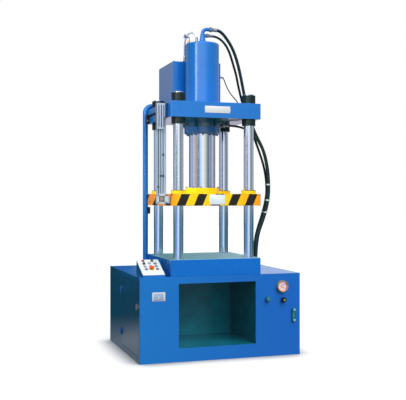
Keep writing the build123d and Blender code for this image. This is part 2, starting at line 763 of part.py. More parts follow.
# Hose fittings: couplings on the cylinder and the tank, bulkheads on the deck
with BuildPart() as hose_fittings:
    rod((main_hose_start, 0, riser_top), (main_hose_start + 28, 0, riser_top),
        main_hose_dia + 11)
    rod((second_hose_start, 0, branch_height), (second_hose_start + 30, 0, branch_height),
        second_hose_dia + 12)
    rod((cylinder_dia / 2 + seat_gap, 0, port_height), (222, 0, port_height), lower_hose_dia + 4)
    rod((cylinder_bore_dia / 2 + 2, 0, port_height), (cylinder_dia / 2 + seat_gap, 0, port_height),
        port_dia / 2 - 2 * seat_gap)
    rod((tank_right, 200, 2580), (tank_right + 12, 200, 2580), tank_cable_dia + 8)
    rod((-54, 0, cylinder_top), (-54, 0, 2870), overflow_hose_dia + 8)
    rod((-108, 208, top_tank_top), (-108, 208, 2722), overflow_hose_dia + 8)
    for (x, y), diameter in deck_fittings.items():
        rod((x, y, cabinet_height), (x, y, cabinet_height + fitting_height), diameter)
        rod((x, y, deck_bottom), (x, y, cabinet_height), diameter - 12)
hose_fittings.part.label = "hose_fittings"
export_step(hose_fittings.part, "parts/hose_fittings.step")

# Bleed valve: a hexagon fitting near the cylinder's rim, with a capped elbow
bleed_x, bleed_y = -118, 42
elbow_height = cylinder_top + 60
with BuildPart() as bleed_valve:
    with BuildSketch(Plane.XY.offset(cylinder_top)):
        with Locations((bleed_x, bleed_y)):
            RegularPolygon(14, 6)
    extrude(amount=14)
    rod((bleed_x, bleed_y, cylinder_top + 14), (bleed_x, bleed_y, elbow_height + 8), 18)
    rod((bleed_x, bleed_y, elbow_height), (bleed_x - 26, bleed_y, elbow_height + 10), 18)
    rod((bleed_x - 22, bleed_y, elbow_height + 8), (bleed_x - 44, bleed_y, elbow_height + 16), 34)
bleed_valve.part.label = "bleed_valve"
export_step(bleed_valve.part, "parts/bleed_valve.step")

# Console: a hollow sheet wedge with a sloping open top
console_floor = cabinet_height
with BuildPart() as console_box:
    with BuildSketch(Plane.YZ.offset(console_left)):
        with BuildLine():
            Polyline((console_front, console_floor), (console_back, console_floor),
                     (console_back, console_floor + console_back_height),
                     (console_front, console_floor + console_front_height), close=True)
        make_face()
    extrude(amount=console_width)
    with BuildSketch(Plane.YZ.offset(console_left + console_wall)):
        with BuildLine():
            Polyline((console_front + console_wall, console_floor + console_wall),
                     (console_back - console_wall, console_floor + console_wall),
                     (console_back - console_wall, console_floor + console_back_height + 20),
                     (console_front + console_wall, console_floor + console_front_height + 20),
                     close=True)
        make_face()
    extrude(amount=console_width - 2 * console_wall, mode=Mode.SUBTRACT)
console_box.part.label = "console_box"
export_step(console_box.part, "parts/console_box.step")

# Panel plane: its origin at the front left corner of the console's top, Y up the slope
panel_length = math.hypot(console_back - console_front,
                          console_back_height - console_front_height)
panel_normal = (0, -math.sin(console_slope), math.cos(console_slope))
panel_plane = Plane(origin=(console_left, console_front, console_floor + console_front_height),
                    x_dir=(1, 0, 0), z_dir=panel_normal)
panel_columns = [panel_column_first + step * panel_column_spacing for step in range(3)]
button_spots = {
    "button_left_low": (panel_columns[0], panel_rows[0]),
    "button_left_high": (panel_columns[0], panel_rows[1]),
    "button_middle_low": (panel_columns[1], panel_rows[1] + 6),
    "button_middle_high": (panel_columns[1], panel_rows[2] + 8),
    "button_right_low": (panel_columns[2], panel_rows[0]),
    "button_right_middle": (panel_columns[2], panel_rows[1]),
    "button_right_high": (panel_columns[2], panel_rows[2]),
}
stop_spot = (panel_columns[1], panel_rows[0] + 8)
selector_spot = (panel_columns[0], panel_rows[2])
lamp_spots = ((panel_columns[0], panel_rows[3]), (panel_columns[2] - 18, panel_rows[3]))
control_spots = list(button_spots.values()) + [stop_spot, selector_spot]


def round_on_panel(spot, low, high, diameter, mode=Mode.ADD):
    """Adds or cuts a round bar standing on the panel, between two heights over its underside."""
    base = panel_plane.offset(low)
    with BuildSketch(base) as section:
        with Locations(spot):
            Circle(diameter / 2)
    extrude(section.sketch, amount=high - low, mode=mode)


with BuildPart() as console_panel:
    with BuildSketch(panel_plane):
        Rectangle(console_width, panel_length, align=(Align.MIN, Align.MIN))
    extrude(amount=panel_thickness)
    for spot in control_spots + list(lamp_spots):
        round_on_panel(spot, 0, panel_thickness, collar_dia - 4 + column_fit, mode=Mode.SUBTRACT)
console_panel.part.label = "console_panel"
export_step(console_panel.part, "parts/console_panel.step")

# Collars of the buttons, and the two lamps
collar_top = panel_thickness + collar_height
with BuildPart() as button_collars:
    for spot in control_spots:
        round_on_panel(spot, -collar_depth, panel_thickness, collar_dia - 4)
        round_on_panel(spot, panel_thickness, collar_top, collar_dia)
        round_on_panel(spot, -collar_depth, collar_top, collar_bore_dia, mode=Mode.SUBTRACT)
    for spot in lamp_spots:
        round_on_panel(spot, -collar_depth, panel_thickness, collar_dia - 4)
        round_on_panel(spot, panel_thickness, collar_top, collar_dia)
        round_on_panel(spot, collar_top, collar_top + 6, button_dia)
button_collars.part.label = "button_collars"
export_step(button_collars.part, "parts/button_collars.step")

# Push buttons
for name, spot in button_spots.items():
    with BuildPart() as button:
        round_on_panel(spot, -collar_depth + 8, panel_thickness + button_proud, button_dia)
        chamfer(button.faces().sort_by(Axis.Z)[-1].edges(), 1)
    button.part.label = name
    export_step(button.part, f"parts/{name}.step")

with BuildPart() as emergency_stop:
    round_on_panel(stop_spot, -collar_depth + 8, panel_thickness + stop_proud - stop_head,
                   button_dia)
    round_on_panel(stop_spot, panel_thickness + stop_proud - stop_head,
                   panel_thickness + stop_proud, stop_dia)
    fillet(emergency_stop.faces().sort_by(Axis.Z)[-1].edges(), 5)
emergency_stop.part.label = "emergency_stop"
export_step(emergency_stop.part, "parts/emergency_stop.step")

with BuildPart() as mode_selector:
    round_on_panel(selector_spot, -collar_depth + 8, panel_thickness + selector_proud,
                   selector_dia)
    with BuildSketch(panel_plane.offset(panel_thickness + selector_proud)) as lever:
        with Locations(selector_spot):
            SlotOverall(selector_dia - 3, 8, rotation=90)
    extrude(lever.sketch, amount=12)
mode_selector.part.label = "mode_selector"
export_step(mode_selector.part, "parts/mode_selector.step")

# Pressure gauge: a dished case on the front panel, its glass and its pointer
gauge_face = cabinet_front - gauge_depth
gauge_dial = gauge_face + 16
gauge_axis = Axis((gauge_x, 0, gauge_z), (0, 1, 0))
with BuildPart() as gauge_case:
    with BuildSketch(Plane.XY.offset(gauge_z)):
        with BuildLine():
            Polyline((gauge_x, cabinet_front + 30), (gauge_x + 7, cabinet_front + 30),
                     (gauge_x + 7, cabinet_front), (gauge_x + gauge_dia / 2, cabinet_front),
                     (gauge_x + gauge_dia / 2, gauge_face),
                     (gauge_x + gauge_dia / 2 - gauge_wall, gauge_face),
                     (gauge_x + gauge_dia / 2 - gauge_wall, gauge_dial),
                     (gauge_x + 1.5, gauge_dial), (gauge_x + 1.5, gauge_dial - 6),
                     (gauge_x, gauge_dial - 6), close=True)
        make_face()
    revolve(axis=gauge_axis)
gauge_case.part.label = "gauge_case"
export_step(gauge_case.part, "parts/gauge_case.step")

glass_front = gauge_face + 3
with BuildPart() as gauge_glass:
    rod((gauge_x, glass_front, gauge_z), (gauge_x, glass_front + gauge_glass_thickness, gauge_z),
        gauge_dia - 2 * gauge_wall - 2 * column_fit)
gauge_glass.part.label = "gauge_glass"
export_step(gauge_glass.part, "parts/gauge_glass.step")

# The pointer hangs at the start of the scale, low on the left
pointer_angle = 225
pointer_length = 34
pointer_plane = Plane(origin=(gauge_x, gauge_dial - 2, gauge_z), x_dir=(1, 0, 0),
                      z_dir=(0, -1, 0))
with BuildPart() as gauge_pointer:
    with BuildSketch(pointer_plane):
        with Locations(Location((0, 0, 0), (0, 0, pointer_angle))):
            with Locations((pointer_length / 2 - 6, 0)):
                Rectangle(pointer_length + 12, 2.4)
        Circle(5)
        Circle(1.5 + running_gap, mode=Mode.SUBTRACT)
    extrude(amount=1.2)
gauge_pointer.part.label = "gauge_pointer"
export_step(gauge_pointer.part, "parts/gauge_pointer.step")

# Valve knobs: fluted handwheels on the valve spindles
knob_back = cabinet_front - 6
for side, (knob_x, knob_z) in knob_places.items():
    knob_plane = Plane(origin=(knob_x, knob_back, knob_z), x_dir=(1, 0, 0), z_dir=(0, -1, 0))
    with BuildPart() as valve_knob:
        with BuildSketch(knob_plane):
            Circle(knob_dia / 2)
            with PolarLocations(knob_dia / 2 + 2, 10):
                Circle(5, mode=Mode.SUBTRACT)
            Circle(spindle_dia / 2 + running_gap, mode=Mode.SUBTRACT)
        extrude(amount=knob_length - 8)
        with BuildSketch(knob_plane.offset(knob_length - 8)):
            Circle(knob_dia / 2 - 5)
            Circle(spindle_dia / 2 + running_gap, mode=Mode.SUBTRACT)
        extrude(amount=8)
    valve_knob.part.label = f"valve_knob_{side}"
    export_step(valve_knob.part, f"parts/valve_knob_{side}.step")

# Oil level gauge: a rounded frame with a long window and a bolt at each end
with BuildPart() as level_gauge:
    level_plane = Plane(origin=(level_x, cabinet_front, level_bottom + level_length / 2),
                        x_dir=(1, 0, 0), z_dir=(0, -1, 0))
    with BuildSketch(level_plane):
        SlotOverall(level_length, level_width, rotation=90)
    extrude(amount=level_thickness)
    with BuildSketch(level_plane.offset(level_thickness)):
        SlotOverall(level_length - 2 * level_width, level_width - 18, rotation=90)
    extrude(amount=-10, mode=Mode.SUBTRACT)
    with BuildSketch(level_plane.offset(level_thickness)):
        with GridLocations(1, level_length - level_width, 1, 2):
            RegularPolygon(11, 6)
    extrude(amount=7)
level_gauge.part.label = "level_gauge"
export_step(level_gauge.part, "parts/level_gauge.step")

# Door: a folded sheet pan set flush in the left side, with its hinge knuckles
hinge_x = cabinet_left - hinge_dia / 2 - 1
hinge_y = door_back + door_gap / 2
with BuildPart() as cabinet_door:
    block(cabinet_left, cabinet_left + door_fold, door_front, door_back, door_bottom, door_top)
    block(cabinet_left + door_sheet, cabinet_left + door_fold, door_front + door_sheet,
          door_back - door_sheet, door_bottom + door_sheet, door_top - door_sheet,
          mode=Mode.SUBTRACT)
    rod((cabinet_left, lock_y, lock_z), (cabinet_left + door_sheet, lock_y, lock_z),
        18 + 2 * running_gap, mode=Mode.SUBTRACT)
    for z in hinge_heights:
        rod((hinge_x, hinge_y, z + hinge_length / 2 + seat_gap),
            (hinge_x, hinge_y, z + hinge_length), hinge_dia)
        block(hinge_x, cabinet_left, hinge_y - hinge_dia / 2 - 14, hinge_y,
              z + hinge_length / 2 + seat_gap, z + hinge_length)
        rod((hinge_x, hinge_y, z + hinge_length / 2 + seat_gap),
            (hinge_x, hinge_y, z + hinge_length), hinge_pin_dia + 2 * running_gap,
            mode=Mode.SUBTRACT)
cabinet_door.part.label = "cabinet_door"
export_step(cabinet_door.part, "parts/cabinet_door.step")

with BuildPart() as door_hinges:
    for z in hinge_heights:
        rod((hinge_x, hinge_y, z), (hinge_x, hinge_y, z + hinge_length / 2), hinge_dia)
        block(hinge_x, cabinet_left, hinge_y, hinge_y + hinge_dia / 2 + 14, z,
              z + hinge_length / 2)
        rod((hinge_x, hinge_y, z + hinge_length / 2), (hinge_x, hinge_y, z + hinge_length),
            hinge_pin_dia)
door_hinges.part.label = "door_hinges"
export_step(door_hinges.part, "parts/door_hinges.step")

# Door lock: a wing handle outside and a cam behind the panel's edge
with BuildPart() as door_lock:
    rod((cabinet_left - 8, lock_y, lock_z), (cabinet_left + door_fold + 1, lock_y, lock_z), 18)
    block(cabinet_left - 20, cabinet_left - 8, lock_y - 10, lock_y + 10, lock_z - 26, lock_z + 26)
    block(cabinet_left + door_fold + 1, cabinet_left + door_fold + 5,
          lock_y - 12, lock_y + 12, lock_z - 12, lock_z + 45)
door_lock.part.label = "door_lock"
export_step(door_lock.part, "parts/door_lock.step")

# Back cover: a sheet with louvres, screwed over the service opening
with BuildPart() as back_cover:
    block(cover_left - cover_overlap, cover_right + cover_overlap, cabinet_back,
          cabinet_back + cover_thickness, cover_bottom - cover_overlap, cover_top + cover_overlap)
    louvre_plane = Plane(origin=((cover_left + cover_right) / 2, cabinet_back,
                                 (cover_bottom + cover_top) / 2),
                         x_dir=(-1, 0, 0), z_dir=(0, 1, 0))
    with BuildSketch(louvre_plane):
        with GridLocations(louvre_length + 60, louvre_spacing, 2, louvre_count):
            SlotOverall(louvre_length, 9)
    extrude(amount=cover_thickness, mode=Mode.SUBTRACT)
back_cover.part.label = "back_cover"
export_step(back_cover.part, "parts/back_cover.step")

# Oil tank in the cabinet's right bay
with BuildPart() as oil_tank:
    block(oil_tank_left, oil_tank_right, oil_tank_front, oil_tank_back,
          oil_tank_bottom, oil_tank_top)
    block(oil_tank_left + oil_tank_wall, oil_tank_right - oil_tank_wall,
          oil_tank_front + oil_tank_wall, oil_tank_back - oil_tank_wall,
          oil_tank_bottom + oil_tank_wall, oil_tank_top - oil_tank_wall, mode=Mode.SUBTRACT)
    rod((inner_pipe_x, return_pipe_y, oil_tank_top - oil_tank_wall),
        (inner_pipe_x, return_pipe_y, oil_tank_top), return_pipe_dia - 8, mode=Mode.SUBTRACT)
    for y in (oil_tank_front + 40, oil_tank_back - 80):
        block(oil_tank_left, oil_tank_right, y, y + 40, floor_thickness, oil_tank_bottom)
oil_tank.part.label = "oil_tank"
export_step(oil_tank.part, "parts/oil_tank.step")

# Motor: a ribbed shell on two feet, with a terminal box
motor_end = motor_x + motor_length
with BuildPart() as motor_body:
    rod((motor_x, motor_y, motor_z), (motor_end, motor_y, motor_z), motor_dia - 24)
    motor_plane = Plane(origin=(motor_x + 40, motor_y, motor_z), x_dir=(0, 1, 0), z_dir=(1, 0, 0))
    with BuildSketch(motor_plane):
        with PolarLocations(motor_dia / 2 - 8, 24):
            Rectangle(16, 4)
    extrude(amount=motor_length - 80)
    block(motor_x + 60, motor_x + 300, motor_y - 100, motor_y + 100,
          floor_thickness, motor_z - motor_dia / 2 + 20)
    block(motor_x + 120, motor_x + 240, motor_y - 50, motor_y + 50,
          motor_z + motor_dia / 2 - 16, motor_z + motor_dia / 2 + 50)
    rod((motor_x + 12, motor_y, motor_z), (motor_end - 12, motor_y, motor_z), motor_bore_dia,
        mode=Mode.SUBTRACT)
    rod((motor_x, motor_y, motor_z), (motor_end, motor_y, motor_z),
        shaft_dia + 2 * running_gap, mode=Mode.SUBTRACT)
motor_body.part.label = "motor_body"
export_step(motor_body.part, "parts/motor_body.step")

# Motor shaft with its rotor core and the coupling to the pump
with BuildPart() as motor_shaft:
    rod((motor_x - 30, motor_y, motor_z), (motor_end + bell_length - 20, motor_y, motor_z),
        shaft_dia)
    rod((motor_x + 60, motor_y, motor_z), (motor_end - 60, motor_y, motor_z), motor_bore_dia - 4)
    rod((motor_end + 40, motor_y, motor_z), (motor_end + 100, motor_y, motor_z), 90)
motor_shaft.part.label = "motor_shaft"
export_step(motor_shaft.part, "parts/motor_shaft.step")

# Pump with its bell housing, suction pipe and pressure pipe
pump_end = motor_end + bell_length + pump_length
pressure_pipe_x = motor_end + bell_length + pump_length / 2
block_pipe_x = block_right - 35
with BuildPart() as pump:
    rod((motor_end, motor_y, motor_z), (motor_end + bell_length, motor_y, motor_z), bell_dia)
    rod((motor_end, motor_y, motor_z), (motor_end + bell_length - 12, motor_y, motor_z),
        bell_dia - 30, mode=Mode.SUBTRACT)
    block(motor_end + bell_length, pump_end, motor_y - pump_size / 2, motor_y + pump_size / 2,
          motor_z - pump_size / 2, motor_z + pump_size / 2)
    rod((pump_end, motor_y, motor_z), (oil_tank_left, motor_y, motor_z), 50)
    tube_along(((pressure_pipe_x, motor_y, motor_z + pump_size / 2),
                (pressure_pipe_x, motor_y, inner_pipe_height + 45),
                (block_pipe_x, motor_y, inner_pipe_height + 45),
                (block_pipe_x, block_back - 30, inner_pipe_height + 45),
                (block_pipe_x, block_back - 30, block_top)), 20, 30)
pump.part.label = "pump"
export_step(pump.part, "parts/pump.step")

# Valve block on the oil tank: manifold, solenoid valves, spindles and risers
solenoid_width = 46
with BuildPart() as valve_block:
    block(block_left, block_right, block_front, block_back, oil_tank_top, block_top)
    for step in range(3):
        valve_y = block_front + 60 + step * 80
        block(block_left - 20, block_right - 50, valve_y, valve_y + solenoid_width,
              block_top, block_top + 60)
    for knob_x, knob_z in knob_places.values():
        rod((knob_x, block_front, knob_z), (knob_x, knob_back - knob_length + 4, knob_z),
            spindle_dia)
    for (x, y), diameter in list(deck_fittings.items())[:3]:
        rod((x, y, block_top), (x, y, deck_bottom), diameter - 12)
valve_block.part.label = "valve_block"
export_step(valve_block.part, "parts/valve_block.step")

# Electrical plate in the left bay: contactors, a transformer and a terminal strip
board_x = niche_left - wall - 60
board_front = cabinet_front + 45
board_back = board_front + 600
board_bottom = 90
board_top = cabinet_height - 100
contactor_pitch = 75
relay_pitch = 60
with BuildPart() as electrical_plate:
    block(board_x, board_x + 3, board_front, board_back, board_bottom, board_top)
    for z in (board_bottom + 20, board_top - 20):
        for y in (board_front + 160, board_front + 480):
            block(board_x + 3, niche_left - wall, y, y + 40, z - 8, z + 8)
    for step in range(5):
        y = board_front + 40 + step * contactor_pitch
        block(board_x - 75, board_x, y, y + 50, board_top - 160, board_top - 80)
    for step in range(4):
        y = board_front + 40 + step * relay_pitch
        block(board_x - 60, board_x, y, y + 40, board_top - 310, board_top - 230)
    block(board_x - 100, board_x, board_back - 140, board_back - 30,
          board_top - 300, board_top - 200)
    block(board_x - 40, board_x, board_front + 40, board_back - 30,
          board_bottom + 50, board_bottom + 90)
electrical_plate.part.label = "electrical_plate"
export_step(electrical_plate.part, "parts/electrical_plate.step")
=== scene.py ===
import json
import math
import bpy
import bmesh
from mathutils import Matrix, Vector

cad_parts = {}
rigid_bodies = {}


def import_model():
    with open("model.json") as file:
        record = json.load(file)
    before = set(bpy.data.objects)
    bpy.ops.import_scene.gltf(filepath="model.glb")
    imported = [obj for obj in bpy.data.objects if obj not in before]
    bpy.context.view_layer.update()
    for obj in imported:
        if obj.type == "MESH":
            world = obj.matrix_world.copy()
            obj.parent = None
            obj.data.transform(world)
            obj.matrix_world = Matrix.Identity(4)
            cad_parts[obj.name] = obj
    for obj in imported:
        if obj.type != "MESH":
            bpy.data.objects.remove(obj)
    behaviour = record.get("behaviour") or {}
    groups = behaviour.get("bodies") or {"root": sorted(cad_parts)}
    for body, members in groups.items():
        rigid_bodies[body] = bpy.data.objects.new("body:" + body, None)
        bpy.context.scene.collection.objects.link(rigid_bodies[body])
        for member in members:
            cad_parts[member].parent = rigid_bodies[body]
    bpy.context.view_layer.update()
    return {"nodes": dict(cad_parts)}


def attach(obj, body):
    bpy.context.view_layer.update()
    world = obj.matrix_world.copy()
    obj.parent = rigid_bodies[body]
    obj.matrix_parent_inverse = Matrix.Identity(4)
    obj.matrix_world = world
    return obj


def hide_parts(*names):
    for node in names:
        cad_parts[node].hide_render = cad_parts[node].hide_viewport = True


# Looks of the four-column hydraulic press, in metres, in the frame of the CAD part.

for leftover in list(bpy.data.objects):
    bpy.data.objects.remove(leftover)
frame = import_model()
scene = bpy.context.scene
scene.view_settings.view_transform = "Standard"

# Camera of the photograph
camera_data = bpy.data.cameras.new("camera")
camera_data.lens = 70.0
camera_data.sensor_width = 36.0
camera_data.shift_y = -0.0064
camera_data.clip_end = 100.0
camera = bpy.data.objects.new("camera", camera_data)
camera.location = (-2.282, -6.963, 1.427)
camera.rotation_euler = (math.radians(90), 0, math.radians(-18.2))
scene.collection.objects.link(camera)
scene.camera = camera


def linear(red, green, blue):
    """Colour picked on a screen, as linear light."""
    def one(value):
        value = value / 255
        return value / 12.92 if value <= 0.04045 else ((value + 0.055) / 1.055) ** 2.4
    return (one(red), one(green), one(blue), 1.0)


class Nodes:
    """Short calls for the nodes of one material or of the world."""

    def __init__(self, tree):
        self.tree = tree
        tree.nodes.clear()

    def add(self, kind, **settings):
        node = self.tree.nodes.new(kind)
        for key, value in settings.items():
            setattr(node, key, value)
        return node

    def join(self, source, target):
        self.tree.links.new(source, target)

    def set_or_join(self, socket, value):
        if hasattr(value, "is_output"):
            self.join(value, socket)
        else:
            socket.default_value = value

    def math(self, operation, first, second=0.0, clamp=False):
        node = self.add("ShaderNodeMath", operation=operation, use_clamp=clamp)
        for socket, value in zip(node.inputs, (first, second)):
            self.set_or_join(socket, value)
        return node.outputs[0]

    def product(self, first, second):
        return self.math("MULTIPLY", first, second)

    def between(self, value, low, high, to_low=0.0, to_high=1.0):
        """A value's share of the way from low to high, or the number at that share."""
        node = self.add("ShaderNodeMapRange")
        for socket, item in zip(node.inputs, (value, low, high, to_low, to_high)):
            self.set_or_join(socket, item)
        return node.outputs[0]

    def mix(self, factor, first, second, blend="MIX"):
        node = self.add("ShaderNodeMix", data_type="RGBA", blend_type=blend)
        self.set_or_join(node.inputs["Factor"], factor)
        self.set_or_join(node.inputs[6], first)
        self.set_or_join(node.inputs[7], second)
        return node.outputs[2]

    def place(self):
        """Where a point is on the piece."""
        return self.add("ShaderNodeTexCoord").outputs["Object"]

    def facing(self, kind="True Normal"):
        """The way that a point of the surface faces."""
        return self.add("ShaderNodeNewGeometry").outputs[kind]

    def split(self, vector):
        """The X, Y and Z of a vector, by name."""
        node = self.add("ShaderNodeSeparateXYZ")
        self.join(vector, node.inputs[0])
        return node.outputs

    def vector_math(self, operation, first, second):
        node = self.add("ShaderNodeVectorMath", operation=operation)
        self.set_or_join(node.inputs[0], first)
        self.set_or_join(node.inputs[1], second)
        return node.outputs["Value" if operation == "DOT_PRODUCT" else "Vector"]

    def noise(self, scale, detail=3.0, stretch=(1, 1, 1)):
        spread = self.add("ShaderNodeMapping")
        spread.inputs["Scale"].default_value = stretch
        self.join(self.place(), spread.inputs["Vector"])
        node = self.add("ShaderNodeTexNoise")
        node.inputs["Scale"].default_value = scale
        node.inputs["Detail"].default_value = detail
        node.inputs["Roughness"].default_value = 0.55
        self.join(spread.outputs[0], node.inputs["Vector"])
        return node.outputs[0]

    def round_tones(self, turn, stops):
        """Tones all the way round: each stop has its degrees from the front, and its tone."""
        node = self.add("ShaderNodeValToRGB")
        elements = node.color_ramp.elements
        while len(elements) < len(stops):
            elements.new(0.5)
        for element, (degrees, *tone) in zip(elements, stops):
            element.position = (degrees + 180) / 360
            element.color = (*(tone if len(tone) == 3 else tone * 3), 1.0)
        self.join(turn, node.inputs[0])
        return node.outputs[0]


WHITE = (1.0, 1.0, 1.0, 1.0)


def shade(colour, factor):
    return tuple(min(1.0, part * factor) for part in colour[:3]) + (1.0,)


materials = {}


def bare_metal_top(nodes):
    """The table's ground top, with painted reflection: teal on the left and pale on the right,
    with fine lines.
    """
    # Painted reflection: the top is paler towards the right, with random patches.
    across = nodes.between(nodes.split(nodes.place())["X"], -0.42, 0.42, 0.0, 0.6)
    painted_reflection_drift = nodes.math("ADD", across, nodes.between(nodes.noise(3.0), 0.35, 0.65, 0.0, 0.4))
    dark = nodes.mix(painted_reflection_drift, linear(88, 166, 184), linear(146, 190, 214))
    fair = nodes.mix(painted_reflection_drift, linear(114, 188, 204), linear(180, 214, 234))
    lines = nodes.between(nodes.noise(60.0, 4.0, (1, 20, 1)), 0.3, 0.7)
    return nodes.mix(lines, dark, fair)


def worn_edges(nodes, wear):
    """Where edges are chipped, by how far a rounded normal leaves the true one."""
    rounded = nodes.add("ShaderNodeBevel", samples=4)
    rounded.inputs["Radius"].default_value = 0.003
    meeting = nodes.vector_math("DOT_PRODUCT", rounded.outputs[0], nodes.facing("Normal"))
    chips = nodes.between(nodes.noise(45.0, 5.0), 0.42, 0.62)
    return nodes.math("MULTIPLY", nodes.product(nodes.between(meeting, 0.985, 0.86), chips),
                      wear, clamp=True)


def make_material(name, colour, rough, metallic=0.0, vary=0.06, patch=5.0, bump=0.05,
                  grain=350.0, stretch=(1, 1, 1), wear=0.0, wear_colour=None, coat=0.0,
                  specular=0.5, bare_top=False):
    """Finish with patchy colour and roughness, a fine bump and light wear on edges.

    The colour is plain, or a function that paints it by place."""
    material = bpy.data.materials.new(name)
    material.use_nodes = True
    nodes = Nodes(material.node_tree)
    shader = nodes.add("ShaderNodeBsdfPrincipled")
    nodes.join(shader.outputs[0], nodes.add("ShaderNodeOutputMaterial").inputs[0])
    patches = nodes.between(nodes.noise(patch, 4.0, stretch), 0.3, 0.7)
    if callable(colour):
        cloud = nodes.mix(patches, shade(WHITE, 1 - vary), WHITE)
        surface = nodes.mix(1.0, colour(nodes), cloud, "MULTIPLY")
    else:
        surface = nodes.mix(patches, shade(colour, 1 - vary), shade(colour, 1 + vary))
    if wear:
        surface = nodes.mix(worn_edges(nodes, wear), surface, wear_colour or shade(colour, 1.6))
    roughness = nodes.between(nodes.noise(patch * 6, 4.0, stretch), 0.3, 0.7,
                              rough * 0.8, min(1.0, rough * 1.2))
    shader.inputs["Metallic"].default_value = metallic
    if bare_top:
        top = nodes.math("GREATER_THAN", nodes.split(nodes.facing())["Z"], 0.5)
        surface = nodes.mix(top, surface, bare_metal_top(nodes))
        roughness = nodes.between(top, 0.0, 1.0, roughness, 0.36)
        nodes.join(nodes.product(top, 0.35), shader.inputs["Metallic"])
    nodes.join(surface, shader.inputs["Base Color"])
    nodes.join(roughness, shader.inputs["Roughness"])
    shader.inputs["Specular IOR Level"].default_value = specular
    shader.inputs["Coat Weight"].default_value = coat
    shader.inputs["Coat Roughness"].default_value = 0.06
    relief = nodes.add("ShaderNodeBump")
    relief.inputs["Strength"].default_value = bump
    relief.inputs["Distance"].default_value = 0.0004
    nodes.join(nodes.noise(grain, 2.0, stretch), relief.inputs["Height"])
    nodes.join(relief.outputs[0], shader.inputs["Normal"])
    materials[name] = material


def slide_stripes(nodes):
    """Black and yellow stripes that lean, on the slide's upright faces only."""
    place, normal = nodes.place(), nodes.facing()
    sideways = nodes.vector_math("CROSS_PRODUCT", (0, 0, 1), normal)
    along = nodes.vector_math("DOT_PRODUCT", place, sideways)
    place, normal = nodes.split(place), nodes.split(normal)
    end_face = nodes.math("GREATER_THAN", nodes.math("ABSOLUTE", normal["X"]), 0.5)
    upright = nodes.math("LESS_THAN", nodes.math("ABSOLUTE", normal["Z"]), 0.75)

    def by_face(front_value, end_value):
        return nodes.between(end_face, 0.0, 1.0, front_value, end_value)

    height = nodes.math("SUBTRACT", place["Z"], 1.354)
    slanted = nodes.math("SUBTRACT", along, nodes.product(height, by_face(0.44, 1.7)))
    started = nodes.math("ADD", slanted, by_face(0.367, 0.225))
    part = nodes.math("FRACT", nodes.math("DIVIDE", started, by_face(0.1578, 0.45)))
    ragged = nodes.math("ADD", part, nodes.product(nodes.noise(260.0), 0.012))
    black = nodes.math("LESS_THAN", ragged, by_face(0.51, 0.41))
    # Painted shade: the yellow turns orange towards both ends and on the end faces.
    right_end = nodes.between(place["X"], 0.15, 0.42)
    left_end = nodes.between(place["X"], -0.28, -0.42)
    painted_shade_share = nodes.math("MAXIMUM", nodes.math("MAXIMUM", right_end, left_end), end_face)
    ground = nodes.mix(painted_shade_share, linear(254, 206, 8), linear(255, 152, 12))
    return nodes.mix(nodes.product(black, upright), ground, linear(30, 24, 22))


def cabinet_paint(nodes):
    """Blue paint, with painted shade in dark teal inside the niche."""
    place = nodes.split(nodes.place())
    inside = 1.0
    for axis, low, high in (("X", -0.3465, 0.3715), ("Y", -0.4045, 0.250),
                            ("Z", 0.1185, 0.6785)):
        inside = nodes.product(inside, nodes.math("GREATER_THAN", place[axis], low))
        inside = nodes.product(inside, nodes.math("LESS_THAN", place[axis], high))
    # Painted shade: dark teal inside the niche, where its walls are in shade.
    cloud = nodes.between(nodes.noise(7.0, 5.0), 0.3, 0.7)
    teal = nodes.mix(cloud, linear(12, 106, 124), linear(22, 124, 148))
    blue = nodes.mix(nodes.between(place["X"], -0.65, 0.75),
                     linear(24, 118, 203), linear(22, 100, 196))
    return nodes.mix(inside, blue, teal)


def sensor_paint(nodes):
    """Pale plate, with the bracket that carries it in blue paint darkened by painted shade, like
    the crown's shaded side.
    """
    # Painted shade: the bracket is the crown's blue, darkened to its shaded tone.
    bracket = nodes.math("GREATER_THAN", nodes.split(nodes.place())["X"], -0.4445)
    return nodes.mix(bracket, linear(176, 186, 208), linear(12, 62, 118))


def mounting_finish(nodes):
    """Pale mounting plate, with dark housings in front of it."""
    housing = nodes.math("LESS_THAN", nodes.split(nodes.place())["X"], -0.4142)
    return nodes.mix(housing, linear(214, 216, 210), linear(52, 58, 62))


def rail_anodising(nodes):
    """Anodised rail, with painted shade down in its slots, darkest in the first one."""
    place = nodes.split(nodes.place())
    # Painted shade: the slots are darker than the rail's face.
    slot = nodes.product(nodes.math("GREATER_THAN", place["Y"], -0.2925),
                         nodes.math("LESS_THAN", place["Y"], -0.2875))
    first = nodes.math("LESS_THAN", place["X"], -0.49)
    slot_painted_shade = nodes.mix(first, linear(118, 134, 156), linear(50, 66, 78))
    return nodes.mix(slot, linear(186, 200, 224), slot_painted_shade)


def valve_brass(nodes):
    """Brass body, and a bright elbow above it."""
    above = nodes.math("GREATER_THAN", nodes.split(nodes.place())["Z"], 2.886)
    return nodes.mix(above, linear(206, 172, 100), linear(206, 210, 214))


